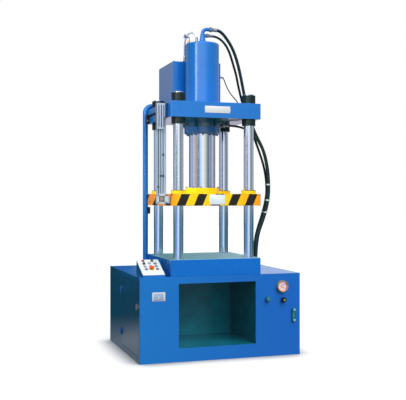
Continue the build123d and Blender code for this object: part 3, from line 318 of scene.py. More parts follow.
chip = linear(120, 160, 210)    # blue paint where its edges are rubbed
make_material("cabinet_blue", cabinet_paint, 0.22, vary=0.04, wear=0.35, wear_colour=chip,
              coat=0.3, specular=0.35)
make_material("blue_paint", linear(22, 112, 198), 0.22, vary=0.04, wear=0.35, wear_colour=chip,
              coat=0.6, specular=0.4)
make_material("stripe_paint", slide_stripes, 0.3, bump=0.08, wear=0.5,
              wear_colour=linear(170, 160, 140))
make_material("yellow_paint", linear(254, 208, 8), 0.3, bump=0.08, wear=0.4,
              wear_colour=linear(180, 165, 120))
make_material("chrome", linear(225, 230, 245), 0.1, metallic=1.0, vary=0.03, bump=0.01,
              grain=90.0, stretch=(1, 1, 14))
make_material("table_finish", linear(16, 106, 200), 0.24, vary=0.04, bump=0.04, wear=0.3,
              wear_colour=linear(186, 196, 204), specular=0.35, bare_top=True)
make_material("bare_steel", linear(150, 154, 158), 0.32, metallic=0.9, vary=0.1, bump=0.1,
              grain=300.0, wear=0.3)
make_material("black_steel", linear(18, 38, 38), 0.36, metallic=0.2, vary=0.15, bump=0.12,
              wear=0.5, wear_colour=linear(96, 112, 116))
make_material("ring_paint", linear(14, 96, 138), 0.22, vary=0.12, bump=0.06, wear=0.4,
              wear_colour=chip, coat=0.8)
make_material("aluminium", linear(212, 220, 230), 0.36, metallic=0.4, bump=0.1, grain=160.0,
              stretch=(14, 14, 1), wear=0.3, wear_colour=linear(225, 228, 232))
make_material("sensor_steel", sensor_paint, 0.4, metallic=0.2, vary=0.07, bump=0.1, grain=160.0,
              stretch=(14, 14, 1))
make_material("mounting_plate", mounting_finish, 0.4, bump=0.1)
make_material("rail_metal", rail_anodising, 0.38, metallic=0.55, bump=0.1, grain=160.0,
              stretch=(14, 14, 1))
make_material("valve_metal", valve_brass, 0.25, metallic=0.95, vary=0.07, bump=0.08)
make_material("rubber", linear(20, 42, 44), 0.45, vary=0.15, patch=30.0, bump=0.25, grain=500.0,
              specular=0.35)
make_material("white_panel", linear(226, 232, 240), 0.35, vary=0.03, wear=0.4,
              wear_colour=linear(160, 164, 168))
make_material("black_plastic", linear(20, 20, 22), 0.42, vary=0.12, bump=0.15, grain=600.0)
make_material("red_plastic", linear(234, 78, 34), 0.24, vary=0.05, coat=0.3)
make_material("teal_plastic", linear(22, 112, 122), 0.28, coat=0.3)
make_material("blue_plastic", linear(44, 108, 168), 0.28, coat=0.3)
make_material("lavender_plastic", linear(150, 150, 208), 0.28, coat=0.3)
make_material("grey_paint", linear(150, 156, 160), 0.42, bump=0.12, wear=0.4)
make_material("motor_paint", linear(34, 66, 92), 0.45, vary=0.08, bump=0.3, grain=250.0, wear=0.4)
make_material("knob_teal", linear(62, 140, 164), 0.24, metallic=0.4, vary=0.1, bump=0.06)
make_material("level_frame", linear(20, 104, 128), 0.3, vary=0.08, bump=0.06)
make_material("oil", linear(70, 150, 120), 0.12, vary=0.1, bump=0.02, coat=0.5)
make_material("pale_teal", linear(150, 206, 216), 0.3, metallic=0.3, bump=0.06)
make_material("yellow_green", linear(158, 168, 64), 0.35)
make_material("bare_plate", linear(226, 222, 228), 0.35, metallic=0.1, vary=0.04, bump=0.06)
make_material("pale_field", linear(150, 176, 214), 0.4, vary=0.05, bump=0.04)
make_material("dark_field", linear(70, 92, 140), 0.4, vary=0.05, bump=0.04)
make_material("foot_window", linear(150, 132, 128), 0.35, vary=0.12, bump=0.06)
make_material("dial_white", linear(246, 220, 226), 0.4, vary=0.02, bump=0.03)
make_material("dial_red", linear(232, 70, 96), 0.4, vary=0.04, bump=0.03)
make_material("dial_black", linear(26, 24, 28), 0.4, vary=0.05, bump=0.03)
make_material("lens_red", linear(214, 52, 44), 0.15, vary=0.05, bump=0.02, coat=0.6)
make_material("lens_green", linear(14, 74, 50), 0.15, vary=0.05, bump=0.02, coat=0.6)
make_material("tie_pale", linear(206, 216, 214), 0.45, bump=0.1)
make_material("crimp_steel", linear(176, 180, 186), 0.28, metallic=0.9, vary=0.08, patch=40.0,
              bump=0.08)
make_material("gauge_rim", linear(206, 184, 74), 0.22, metallic=0.5, vary=0.05)
make_material("braid", linear(228, 231, 233), 0.35, metallic=0.4, vary=0.16, patch=120.0,
              bump=0.9, grain=420.0)

# Thin glass of the gauge, a little smeared
glass = materials["glass"] = bpy.data.materials.new("glass")
glass.use_nodes = True
nodes = Nodes(glass.node_tree)
shader = nodes.add("ShaderNodeBsdfPrincipled")
nodes.join(shader.outputs[0], nodes.add("ShaderNodeOutputMaterial").inputs[0])
shader.inputs["Base Color"].default_value = linear(238, 244, 246)
shader.inputs["Transmission Weight"].default_value = 1.0
shader.inputs["IOR"].default_value = 1.1
smear = nodes.between(nodes.noise(60.0, 4.0), 0.35, 0.7, 0.01, 0.05)
nodes.join(smear, shader.inputs["Roughness"])

# Finishes of the CAD nodes; a node that isn't listed is painted blue
node_materials = {
    "stripe_paint": ["slide"],
    "yellow_paint": ["guide_bushes", "ram_flange"],
    "chrome": ["column_front_left", "column_back_left", "column_front_right",
               "column_back_right", "ram"],
    "table_finish": ["table"],
    "cabinet_blue": ["base_cabinet"],
    "black_steel": ["column_nuts", "trip_dogs"],
    "ring_paint": ["retaining_ring"],
    "rail_metal": ["stroke_rail"],
    "aluminium": ["rail_foot"],
    "sensor_steel": ["sensor_plate"],
    "black_plastic": ["limit_switches", "mode_selector", "valve_knob_right"],
    "rubber": ["sensor_cable"],
    "valve_metal": ["bleed_valve"],
    "white_panel": ["console_panel"],
    "mounting_plate": ["electrical_plate"],
    "motor_paint": ["motor_body", "pump"],
    "bare_steel": ["hose_fittings", "button_collars", "valve_block", "door_lock"],
    "knob_teal": ["valve_knob_left"],
    "teal_plastic": ["button_right_high", "button_right_low"],
    "blue_plastic": ["button_right_middle", "button_left_low"],
    "lavender_plastic": ["button_middle_high", "button_middle_low", "button_left_high"],
    "red_plastic": ["emergency_stop", "gauge_pointer"],
    "gauge_rim": ["gauge_case"],
    "glass": ["gauge_glass"],
    "level_frame": ["level_gauge"],
}
material_of = {node: name for name, listed in node_materials.items() for node in listed}
for node_name, node in frame["nodes"].items():
    finish = materials[material_of.get(node_name, "blue_paint")]
    if not node.material_slots:
        node.data.materials.append(finish)
    for slot in node.material_slots:
        slot.material = finish

# Hoses: diameter and length in metres, finish, and the CAD part's route points in millimetres,
# with the foot of the bundle drawn a little to the right to close it
hose_routes = {
    "main_hose": (0.029, 2.42, "rubber", (
        (94, 0, 2988), (150, 0, 2988), (195, 5, 2968), (238, 12, 2925), (289, 18, 2859),
        (330, 24, 2782), (363, 30, 2690), (391, 36, 2590), (415, 42, 2488), (439, 48, 2382),
        (467, 52, 2262), (507, 56, 2140), (561, 59, 2020), (636, 60, 1890), (676, 60, 1750),
        (692, 60, 1610), (695, 60, 1470), (676, 60, 1340), (636, 60, 1215), (588, 60, 1095),
        (568, 60, 975), (562, 60, 870), (556, 60, 780))),
    "second_hose": (0.022, 2.40, "rubber", (
        (60, 0, 2930), (120, 0, 2930), (185, 14, 2908), (238, 32, 2868), (279, 51, 2815),
        (312, 70, 2752), (342, 86, 2676), (373, 99, 2596), (395, 111, 2510), (421, 121, 2420),
        (448, 126, 2328), (477, 123, 2235), (512, 116, 2135), (554, 107, 2020),
        (602, 100, 1890), (652, 97, 1750), (681, 97, 1610), (687, 97, 1470), (662, 97, 1340),
        (622, 97, 1215), (579, 97, 1095), (559, 97, 975), (553, 97, 870), (538, 97, 780))),
    "lower_hose": (0.020, 1.61, "rubber", (
        (222, 0, 2100), (275, 0, 2100), (362, 4, 2094), (447, 8, 2070), (516, 12, 2020),
        (574, 16, 1950), (619, 20, 1865), (647, 22, 1755), (665, 24, 1635), (670, 24, 1500),
        (657, 24, 1370), (623, 24, 1245), (569, 24, 1125), (548, 24, 1000), (546, 24, 885),
        (546, 24, 780))),
    "tank_cable": (0.010, 1.95, "rubber", (
        (247, 200, 2580), (265, 200, 2580), (282, 199, 2570), (298, 197, 2526),
        (320, 194, 2474), (348, 190, 2426), (386, 186, 2386), (423, 181, 2340),
        (460, 172, 2262), (499, 160, 2175), (542, 147, 2080), (591, 133, 1960),
        (641, 124, 1830), (679, 121, 1700), (701, 121, 1562), (696, 121, 1430),
        (666, 121, 1305), (629, 121, 1187), (588, 121, 1070), (556, 121, 952),
        (540, 121, 860), (522, 121, 780))),
    "overflow_hose": (0.018, 0.435, "braid", (
        (-54, 0, 2870), (-54, 0, 2917), (-69, 19, 2950), (-92, 49, 2962), (-116, 79, 2950),
        (-131, 98, 2917), (-133, 120, 2872), (-124, 152, 2832), (-115, 184, 2796),
        (-108, 208, 2762), (-108, 208, 2722))),
}
hoses = {}
for name, (diameter, length, finish, points) in hose_routes.items():
    curve = bpy.data.curves.new(name + "_line", "CURVE")
    curve.dimensions = "3D"
    curve.bevel_depth = diameter / 2
    curve.bevel_resolution = 5
    curve.resolution_u = 6
    curve.use_fill_caps = True
    spline = curve.splines.new("NURBS")
    spline.points.add(len(points) - 1)
    for target, point in zip(spline.points, points):
        target.co = (*(value / 1000 for value in point), 1.0)
    spline.order_u = 3
    spline.use_endpoint_u = True
    curve.materials.append(materials[finish])
    hose = bpy.data.objects.new(name + "_hose", curve)
    scene.collection.objects.link(hose)
    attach(hose, "frame")
    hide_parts(name)
    hoses[name] = hose


# Small shapes are modelled once in millimetres, standing on Z = 0, and then copied into place


def keep(bm):
    """Closes a modelled shape and keeps it as a mesh."""
    bmesh.ops.remove_doubles(bm, verts=bm.verts[:], dist=0.001)
    bmesh.ops.recalc_face_normals(bm, faces=bm.faces[:])
    mesh = bpy.data.meshes.new("shape")
    bm.to_mesh(mesh)
    bm.free()
    return mesh


def turned(profile, steps=24):
    """Round shape: a profile of (radius, height) pairs spun about Z."""
    bm = bmesh.new()
    points = [bm.verts.new((radius, 0, height)) for radius, height in profile]
    edges = [bm.edges.new(pair) for pair in zip(points, points[1:])]
    bmesh.ops.spin(bm, geom=points + edges, cent=(0, 0, 0), axis=(0, 0, 1),
                   angle=math.tau, steps=steps, use_merge=True)
    return keep(bm)


def collar(inner, outer, edge, shoulder, height, steps=32):
    """Flat ring whose outer edge slopes in from an edge height to a shoulder radius."""
    return turned([(inner, 0), (outer, 0), (outer, edge), (shoulder, height), (inner, height),
                   (inner, 0)], steps)


def lift(bm, faces, height):
    """Extrudes faces along Z and returns the new end faces."""
    made = bmesh.ops.extrude_face_region(bm, geom=faces)["geom"]
    ends = [item for item in made if isinstance(item, bmesh.types.BMFace)]
    corners = list({corner for face in ends for corner in face.verts})
    bmesh.ops.translate(bm, vec=(0, 0, height), verts=corners)
    return ends


def bevel(bm, geom, width, segments=2, affect="EDGES"):
    bmesh.ops.bevel(bm, geom=geom, offset=width, segments=segments, profile=0.5,
                    affect=affect, material=-1, offset_type="OFFSET")


def ease(bm, faces, width):
    """Bevels the outer edges of end faces."""
    bevel(bm, [edge for face in faces for edge in face.edges], width)


def hexagon(across, height):
    """Bolt head or nut."""
    bm = bmesh.new()
    bmesh.ops.create_circle(bm, cap_ends=True, segments=6,
                            radius=across / 2 / math.cos(math.radians(30)))
    ends = lift(bm, bm.faces[:], height)
    ease(bm, ends, across * 0.06)
    return keep(bm)


def cap_screw(thread):
    """Cylindrical head with a socket."""
    bm = bmesh.new()
    bmesh.ops.create_circle(bm, cap_ends=True, segments=18, radius=thread * 0.75)
    ends = lift(bm, bm.faces[:], thread)
    ease(bm, ends, thread * 0.09)
    top = max(bm.faces, key=lambda face: face.calc_center_median().z + face.calc_area() * 1e-3)
    bmesh.ops.inset_region(bm, faces=[top], thickness=thread * 0.24, depth=0)
    lift(bm, [top], -thread * 0.5)
    return keep(bm)


def slab(width, height, thick, corner=2.0, edge=0.4):
    """Flat plate with rounded corners and an eased front."""
    bm = bmesh.new()
    bmesh.ops.create_grid(bm, x_segments=1, y_segments=1, size=0.5)
    bmesh.ops.scale(bm, vec=(width, height, 1), verts=bm.verts[:])
    bevel(bm, bm.verts[:], corner, 4, "VERTICES")
    ends = lift(bm, bm.faces[:], thick)
    if edge:
        ease(bm, ends, edge)
    return keep(bm)


def at(origin, normal=(0, 0, 1), across=(1, 0, 0), turn=0.0):
    """Place for a shape: its foot in millimetres, the way it faces, and a turn about that."""
    z = Vector(normal).normalized()
    x = Vector(across)
    x = (x - x.dot(z) * z).normalized()
    place = Matrix((x, z.cross(x), z)).transposed().to_4x4()
    place.translation = Vector(origin) / 1000
    return place @ Matrix.Scale(0.001, 4) @ Matrix.Rotation(math.radians(turn), 4, "Z")


def dress(name, finish, body, copies, sharp=35):
    """One piece made of placed copies of shapes."""
    bm = bmesh.new()
    for shape, place in copies:
        count = len(bm.verts)
        bm.from_mesh(shape)
        bmesh.ops.transform(bm, matrix=place, verts=bm.verts[count:])
    mesh = bpy.data.meshes.new(name)
    bm.to_mesh(mesh)
    bm.free()
    mesh.shade_smooth()
    mesh.set_sharp_from_angle(angle=math.radians(sharp))
    mesh.materials.append(materials[finish])
    piece = bpy.data.objects.new(name, mesh)
    scene.collection.objects.link(piece)
    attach(piece, body)
    return piece


FRONT, BACK, LEFT, DOWN = (0, -1, 0), (0, 1, 0), (-1, 0, 0), (0, 0, -1)


def ring_of(count, radius, centre, height, normal=(0, 0, 1), first=0.0):
    """Places on a level circle about a centre."""
    spots = []
    for step in range(count):
        angle = math.radians(first) + math.tau * step / count
        spots.append(at((centre[0] + radius * math.cos(angle),
                         centre[1] + radius * math.sin(angle), height), normal,
                        turn=math.degrees(angle)))
    return spots


# Ends of the hoses: crimped sleeves and hexagons, set by the points of each hose's line.
# The bundle's hoses have one more nut each on the deck, which is 740 mm high.
DECK = 740


def spine(hose):
    """Points along a hose's NURBS line."""
    bare = hose.data.copy()
    bare.bevel_depth = 0
    holder = bpy.data.objects.new("line", bare)
    mesh = bpy.data.meshes.new_from_object(holder)
    points = [corner.co.copy() for corner in mesh.vertices]
    bpy.data.objects.remove(holder)
    bpy.data.meshes.remove(mesh)
    return points


def sleeve(radius, length):
    """Crimped sleeve of a hose, with three grooves."""
    outer = radius + 3.5
    profile = [(0, 0), (outer + 1.5, 0), (outer + 1.5, 5), (outer, 6)]
    step = (length - 12) / 3
    for index in range(3):
        low = 6 + index * step
        profile += [(outer, low + step * 0.25), (outer - 1.6, low + step * 0.4),
                    (outer - 1.6, low + step * 0.75), (outer, low + step * 0.9)]
    profile += [(outer, length - 3), (outer - 1.2, length), (0, length)]
    return turned(profile)


spines = {name: spine(hose) for name, hose in hoses.items()}
crimps = []
nuts = []
for name, (diameter, length, finish, points) in hose_routes.items():
    radius = diameter * 500
    line = spines[name]
    shape = sleeve(radius, 24 + radius * 1.6)
    nut = hexagon(radius * 2 + 13, 9 + radius * 0.8)
    for first, second in ((line[0], line[2]), (line[-1], line[-3])):
        way = (second - first).normalized()
        across = (0, 1, 0)
        crimps.append((shape, at(first * 1000, way, across)))
        nuts.append((nut, at(first * 1000 - way * (11 + radius * 0.8), way, across)))
        if first is line[-1] and name != "overflow_hose":
            nuts.append((nut, at((first.x * 1000, first.y * 1000, DECK), across=across)))
dress("hose_crimps", "crimp_steel", "frame", crimps)
dress("hose_nuts", "crimp_steel", "frame", nuts)

# Ties round the bundle of hoses at the right
bundle = ("main_hose", "second_hose", "lower_hose", "tank_cable")


def point_at(name, height):
    """The place where a hose's line passes a height, below its top."""
    line = spines[name]
    for above, below in zip(line[len(line) // 3:], line[len(line) // 3 + 1:]):
        if above.z >= height > below.z:
            share = (above.z - height) / (above.z - below.z)
            return above.lerp(below, share)
    return line[-1]


def tie(height, tilt):
    """Thin band pulled round the bundle, in metres."""
    band = bmesh.new()
    for name in bundle:
        centre = point_at(name, height)
        radius = hose_routes[name][0] / 2 + 0.0012
        for side in (-0.007, 0.007):
            ring = bmesh.ops.create_circle(band, segments=20, radius=radius)["verts"]
            bmesh.ops.translate(band, vec=(centre.x, centre.y, height + side), verts=ring)
    hull = bmesh.ops.convex_hull(band, input=band.verts[:])
    spare = [item for item in hull["geom_interior"] + hull["geom_unused"]
             if isinstance(item, bmesh.types.BMVert)]
    bmesh.ops.delete(band, geom=list(set(spare)), context="VERTS")
    band.normal_update()
    flat = [face for face in band.faces if abs(face.normal.z) > 0.9]
    bmesh.ops.delete(band, geom=flat, context="FACES")
    middle = point_at("main_hose", height)
    for corner in band.verts:
        corner.co.z += (corner.co.x - middle.x + corner.co.y - middle.y) * tilt
    bmesh.ops.recalc_face_normals(band, faces=band.faces[:])
    bmesh.ops.solidify(band, geom=band.faces[:], thickness=-0.0015)
    mesh = bpy.data.meshes.new("band")
    band.to_mesh(mesh)
    band.free()
    return mesh


dress("hose_ties", "tie_pale", "frame",
      [(tie(height, tilt), Matrix.Identity(4))
       for height, tilt in ((1.551, 0.02), (1.399, -0.03), (1.296, 0.16))], 40)

# Bare plates on the crown, the slide and the cabinet, which share one front face
FRONT_FACE = -405
PLATE_THICKNESS = 1.6
DATA_PLATE_X = -526
rivet = turned([(0, 0), (2.6, 0), (2.4, 1.0), (1.4, 1.7), (0, 2.0)], 12)


def plate_with_rivets(name, finish, body, x, z, width, height):
    """Bare plate on the front face, with a rivet near each corner."""
    dress(name, finish, body,
          [(slab(width, height, PLATE_THICKNESS, 4), at((x, FRONT_FACE, z), FRONT))])
    across, up, proud = width / 2 - 7, height / 2 - 7, FRONT_FACE - PLATE_THICKNESS
    dress(name + "_rivets", "crimp_steel", body,
          [(rivet, at((x + side * across, proud, z + rise * up), FRONT))
           for side in (-1, 1) for rise in (-1, 1)])


plate_with_rivets("crown_plate", "bare_plate", "frame", 10.5, 2200, 237, 60)
plate_with_rivets("slide_plate", "white_panel", "slide_assembly", 6, 1408, 144, 86)
plate_with_rivets("data_plate", "bare_plate", "frame", DATA_PLATE_X, 573.5, 116, 75)


def plate_field(width, height, x, z):
    """Plain field on the cabinet's plate."""
    return (slab(width, height, 0.5, 1, 0), at((x, FRONT_FACE - PLATE_THICKNESS, z), FRONT))


dress("data_plate_fields", "pale_field", "frame",
      [plate_field(84, 9, DATA_PLATE_X, z) for z in (596, 584)]
      + [plate_field(38, 22, DATA_PLATE_X + offset, 566) for offset in (-23, 23)])
dress("data_plate_bar", "dark_field", "frame", [plate_field(92, 8, DATA_PLATE_X, 546)])

# Dial of the gauge
gauge_centre = Vector((622.72, -423.0, 627.0))
dress("gauge_dial", "dial_white", "frame",
      [(turned([(0, 0), (45.6, 0), (45.6, 0.8), (0, 0.8)], 48), at(gauge_centre, FRONT))])


def dial_ring(inner, outer, steps):
    """Thin printed ring on the dial."""
    return turned([(inner, 0.7), (outer, 0.7), (outer, 1.1), (inner, 1.1), (inner, 0.7)], steps)


dress("gauge_ring", "dial_red", "frame",
      [(dial_ring(37.5, 43, 48), at(gauge_centre, FRONT)),
       (dial_ring(12, 16, 32), at(gauge_centre, FRONT))])
SCALE_START, SCALE_SWEEP = 225, 270     # degrees
long_tick, short_tick = slab(7, 1.1, 0.4, 0.3, 0), slab(4, 0.7, 0.4, 0.2, 0)
ticks = []
for step in range(41):
    turn = SCALE_START - step * SCALE_SWEEP / 40
    shape, radius = (long_tick, 34) if step % 5 == 0 else (short_tick, 35.5)
    place = at(gauge_centre, FRONT, turn=turn) @ Matrix.Translation((radius, 0, 0.75))
    ticks.append((shape, place))
dress("gauge_ticks", "dial_black", "frame", ticks)
figures = []
for step in range(5):
    words = bpy.data.curves.new("figure", "FONT")
    words.body = str(step * 10)
    words.size = 8.5
    words.extrude = 0.15
    words.align_x = "CENTER"
    words.align_y = "CENTER"
    holder = bpy.data.objects.new("figure", words)
    shape = bpy.data.meshes.new_from_object(holder)
    bpy.data.objects.remove(holder)
    angle = math.radians(SCALE_START - step * SCALE_SWEEP / 4)
    spot = gauge_centre + Vector((25 * math.cos(angle), -0.95, 25 * math.sin(angle)))
    figures.append((shape, at(spot, FRONT)))
dress("gauge_figures", "dial_black", "frame", figures, 20)
dress("gauge_bezel", "gauge_rim", "frame",
      [(turned([(46.2, 33.6), (47, 34.6), (49, 34.8), (50.4, 34), (50.7, 31), (50.7, 24),
                (50.3, 24), (50.2, 33.6), (46.2, 33.6)], 48),
        at((gauge_centre.x, FRONT_FACE, gauge_centre.z), FRONT))])

# Knobs: their centre discs, and rings where the spindles leave the panel
KNOB_FRONT = -440.6
left_knob, right_knob = (483.84, 518), (635.74, 503)    # X and Z of the spindles
disc = turned([(0, 0), (13, 0), (13, 1.0), (12, 1.8), (0, 2.2)], 28)
small_disc = turned([(0, 0), (8.5, 0), (8.5, 1.0), (7.8, 1.6), (0, 2.0)], 24)
spindle_ring = collar(8.6, 17, 2.4, 15, 3.6)
dress("knob_right_disc", "yellow_green", "knob_right",
      [(small_disc, at((right_knob[0], KNOB_FRONT, right_knob[1]), FRONT))])
dress("knob_left_disc", "knob_teal", "knob_left",
      [(disc, at((left_knob[0], KNOB_FRONT, left_knob[1]), FRONT))])
dress("spindle_rings", "crimp_steel", "frame",
      [(spindle_ring, at((x, FRONT_FACE, z), FRONT)) for x, z in (left_knob, right_knob)])

# Level gauge: oil in the window, and a bolt at each end with a domed tip
LEVEL_X = 739.88
dress("level_oil", "oil", "frame",
      [(slab(15, 54, 4, 7, 1.2), at((LEVEL_X, -411.2, 361.5), FRONT))])
level_bolt = hexagon(20.5, 8.5)
level_tip = turned([(0, 8.4), (5, 8.4), (4.4, 9.4), (0, 9.6)], 16)
dress("level_bolts", "pale_teal", "frame",
      [(shape, at((LEVEL_X, -420.6, z), FRONT)) for shape in (level_bolt, level_tip)
       for z in (315, 408)])

# Console: lenses over the lamps, a yellow disc under the stop button, corner screws
slope = math.atan2(113, 243)
panel_up = Vector((0, math.cos(slope), math.sin(slope)))
panel_out = Vector((0, -math.sin(slope), math.cos(slope)))


def on_panel(across, along, height):
    """Place on the console's panel, given as in the CAD part."""
    origin = Vector((-663, -400, 759)) + Vector((across, 0, 0)) + panel_up * along
    return at(origin + panel_out * height, panel_out)


lens = turned([(0, 0), (11.5, 0), (11.5, 6.4), (10.6, 8.2), (7.5, 9.8), (0, 10.6)], 28)
lamp_ring = collar(11.6, 14.6, 1.8, 13.4, 2.8, 28)
dress("lamp_red", "lens_red", "frame", [(lens, on_panel(50, 238, 6.9))])
dress("lamp_green", "lens_green", "frame", [(lens, on_panel(132, 238, 6.9))])
stop_disc = collar(15.4, 25, 1.0, 24.4, 1.6, 40)
dress("stop_disc", "yellow_paint", "frame", [(stop_disc, on_panel(100, 103, 2.9))])
bezels = [(lamp_ring, on_panel(across, along, 6.7)) for across, along in
          ((50, 95), (50, 143), (100, 149), (100, 199), (150, 95), (150, 143), (150, 191),
           (50, 238), (132, 238))]
dress("button_bezels", "crimp_steel", "frame", bezels)
pan_head = turned([(0, 0), (3.6, 0), (3.4, 1.2), (2.2, 2.2), (0, 2.6)], 16)
dress("panel_screws", "crimp_steel", "frame",
      [(pan_head, on_panel(across, along, 2.8)) for across in (8, 187) for along in (9, 259)])

# Screws under the gland, round the retaining ring, and on the ram flange and the guide bushes
GLAND_UNDERSIDE, RING_SCREW_HEIGHT, RAM_FLANGE_TOP, BUSH_TOP = 2009, 2092, 1514, 1487
screw_12, screw_10, screw_6 = (cap_screw(size) for size in (12, 10, 6))
dress("gland_screws", "blue_paint", "frame",
      [(screw_12, place) for place in ring_of(12, 138, (0, 0), GLAND_UNDERSIDE, DOWN, 15)])
ring_screws = []
for step in range(8):
    angle = math.radians(22.5 + 45 * step)
    out = Vector((math.cos(angle), math.sin(angle), 0))
    spot = out * 174 + Vector((0, 0, RING_SCREW_HEIGHT))
    ring_screws.append((screw_10, at(spot, out, (0, 0, 1))))
dress("ring_screws", "black_steel", "frame", ring_screws)
dress("ram_flange_screws", "bare_steel", "slide_assembly",
      [(screw_12, place) for place in ring_of(8, 145.5, (0, 0), RAM_FLANGE_TOP, first=22.5)])
columns = [(x, y) for x in (-330, 330) for y in (-335, 335)]
dress("bush_screws", "bare_steel", "slide_assembly",
      [(screw_6, place) for column in columns
       for place in ring_of(6, 60, column, BUSH_TOP, first=30)])
wiper = collar(45.6, 54, 3, 50, 6)
dress("bush_wipers", "rubber", "slide_assembly",
      [(wiper, at((x, y, BUSH_TOP))) for x, y in columns])

# Rail: screws of its foot and, sunk in their slots, of its dogs; the foot's window
dress("rail_screws", "bare_steel", "slide_assembly",
      [(screw_10, at((x, -315, z), FRONT)) for x in (-506, -441) for z in (1381, 1447)]
      + [(screw_6, at((x, -295.2, z), FRONT))
         for x, z in ((-500, 1518), (-478, 1616), (-456, 1616), (-456, 1801))])
dress("foot_window_plate", "black_plastic", "slide_assembly",
      [(slab(49, 49, 2.5, 3), at((-473.5, -309, 1414), FRONT))])
dress("foot_window_pane", "foot_window", "slide_assembly",
      [(slab(37, 37, 1.2, 3), at((-473.5, -311.4, 1414), FRONT))])

# Sensors: a lamp on the rear one, and the screws of their plate
dress("switch_lamp", "yellow_green", "frame",
      [(turned([(0, 0), (6, 0), (6, 2), (4, 4), (0, 5)], 20), at((-436, 330, 2158), FRONT))])
dress("plate_screws", "crimp_steel", "frame",
      [(screw_10, at((-425, y, z), LEFT, (0, 1, 0))) for y in (-290, -245) for z in (2144, 2232)])

# Screws and louvres of the back cover
COVER_FACE = 848
cover_spots = ([(x, z) for x in (-514, -307, -100, 107, 314) for z in (86, 653)]
               + [(x, z) for x in (-514, 314) for z in (228, 370, 512)])
dress("cover_screws", "crimp_steel", "frame",
      [(pan_head, at((x, COVER_FACE, z), BACK)) for x, z in cover_spots])


def louvre_hood(length, height, depth):
    """Pressed hood: a bar whose upper front edge is drawn back to the sheet."""
    bm = bmesh.new()
    bmesh.ops.create_cube(bm, size=1.0)
    bmesh.ops.translate(bm, vec=(0, 0, 0.5), verts=bm.verts[:])
    bmesh.ops.scale(bm, vec=(length, height, depth), verts=bm.verts[:])
    upper = [corner for corner in bm.verts if corner.co.y > 0 and corner.co.z > depth / 2]
    bmesh.ops.translate(bm, vec=(0, 0, -depth * 0.85), verts=upper)
    ends = [corner for corner in bm.verts if corner.co.z > depth * 0.9]
    bmesh.ops.scale(bm, vec=(0.95, 1, 1), verts=ends)
    bevel(bm, bm.edges[:], 1.6)
    return keep(bm)


hood = louvre_hood(270, 24, 10)
dress("louvre_hoods", "blue_paint", "frame",
      [(hood, at((x, COVER_FACE, 370 + (row - 3.5) * 45 + 7), BACK, (-1, 0, 0)))
       for x in (-260, 60) for row in range(8)], 50)

# Bolts of the tank's lid, grips round its filler, bolts of its brackets
lid_spots = ([(x, y) for x in (-221, -110, 0, 110, 221) for y in (174, 656)]
             + [(x, y) for x in (-221, 221) for y in (294, 415, 536)])
bolt = hexagon(13, 6)
washer = turned([(0, 0), (8.5, 0), (8.5, 1.2), (0, 1.2)], 20)
dress("lid_bolts", "bare_steel", "frame",
      [(washer, at((x, y, 2705.8))) for x, y in lid_spots]
      + [(bolt, at((x, y, 2706.8), turn=13 * x)) for x, y in lid_spots])
grip = slab(3, 4, 22, 0.8, 0.4)
dress("filler_grips", "blue_paint", "frame",
      [(grip, place @ Matrix.Translation((0, 0, 4))) for place in
       ring_of(24, 43, (60, 560), 2726)])
bracket_bolt = hexagon(19, 9)
dress("bracket_bolts", "bare_steel", "frame",
      [(bracket_bolt, at((side * 175 + offset, 405 + reach, 2266), DOWN))
       for side in (-1, 1) for offset in (-20, 20) for reach in (60, 180)])

# Rotor inside the motor: shaft, core with its end rings, and the coupling
SIDEWAYS = ((1, 0, 0), (0, 1, 0))
MOTOR_Y, MOTOR_HEIGHT = 560, 300
rotor = turned([(0, 0), (17.6, 0), (18.7, 1.2), (18.7, 84), (60, 84), (62, 86), (62, 90),
                (86, 90), (87.6, 91.5), (87.6, 348.5), (86, 350), (62, 350), (62, 354),
                (60, 356), (18.7, 356), (18.7, 450), (43, 450), (45, 452), (45, 477), (41, 479),
                (41, 481), (45, 483), (45, 508), (43, 510), (18.7, 510), (18.7, 519),
                (17.6, 520), (0, 520)], 48)
rotor_piece = dress("motor_rotor", "bare_steel", "rotor",
                    [(rotor, at((-360, MOTOR_Y, MOTOR_HEIGHT), *SIDEWAYS))])
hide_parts("motor_shaft")

# Behind the door, on the plate that faces left: contactors above, relays below them, the
# transformer's terminals, a terminal strip, and slotted ducts for the wires
CONTACTOR_FACE, RELAY_FACE, TRANSFORMER_FACE = -489, -474, -514
STRIP_FACE, PLATE_FACE = -454, -414
contactors = [-295 + 75 * step for step in range(5)]
relays = [-300 + 60 * step for step in range(4)]
duct_heights = (445, 600, 285)


def on_board(shape, face, y, z):
    """Copy of a shape on a face that looks left."""
    return (shape, at((face, y, z), LEFT, (0, 1, 0)))


contactor_face, latch = slab(42, 46, 3, 3, 0.8), slab(14, 18, 4, 2, 0.8)
dress("contactor_faces", "white_panel", "frame",
      [on_board(contactor_face, CONTACTOR_FACE, y, 520) for y in contactors])
dress("contactor_latches", "black_plastic", "frame",
      [on_board(latch, CONTACTOR_FACE - 3, y, 520) for y in contactors])
relay_dial = turned([(0, 0), (9, 0), (9, 3), (7.5, 4.5), (0, 4.5)], 20)
dress("relay_dials", "blue_plastic", "frame",
      [on_board(relay_dial, RELAY_FACE, y, 380) for y in relays])
terminal = turned([(0, 0), (4.2, 0), (4.2, 1.6), (3.2, 2.6), (0, 2.6)], 12)
dress("mounting_terminals", "crimp_steel", "frame",
      [on_board(terminal, CONTACTOR_FACE, y + offset, z)
       for y in contactors for offset in (-16, 0, 16) for z in (488, 552)]
      + [on_board(terminal, RELAY_FACE, y + offset, z)
         for y in relays for offset in (-12, 0, 12) for z in (337, 403)]
      + [on_board(terminal, TRANSFORMER_FACE, y, z)
         for y in (119, 143, 167, 191) for z in (350, 430)]
      + [on_board(terminal, STRIP_FACE, -308 + 18 * step, 160) for step in range(29)])
duct, slot_bar = slab(404, 34, 36, 2, 0.8), slab(5, 26, 1.2, 1, 0)
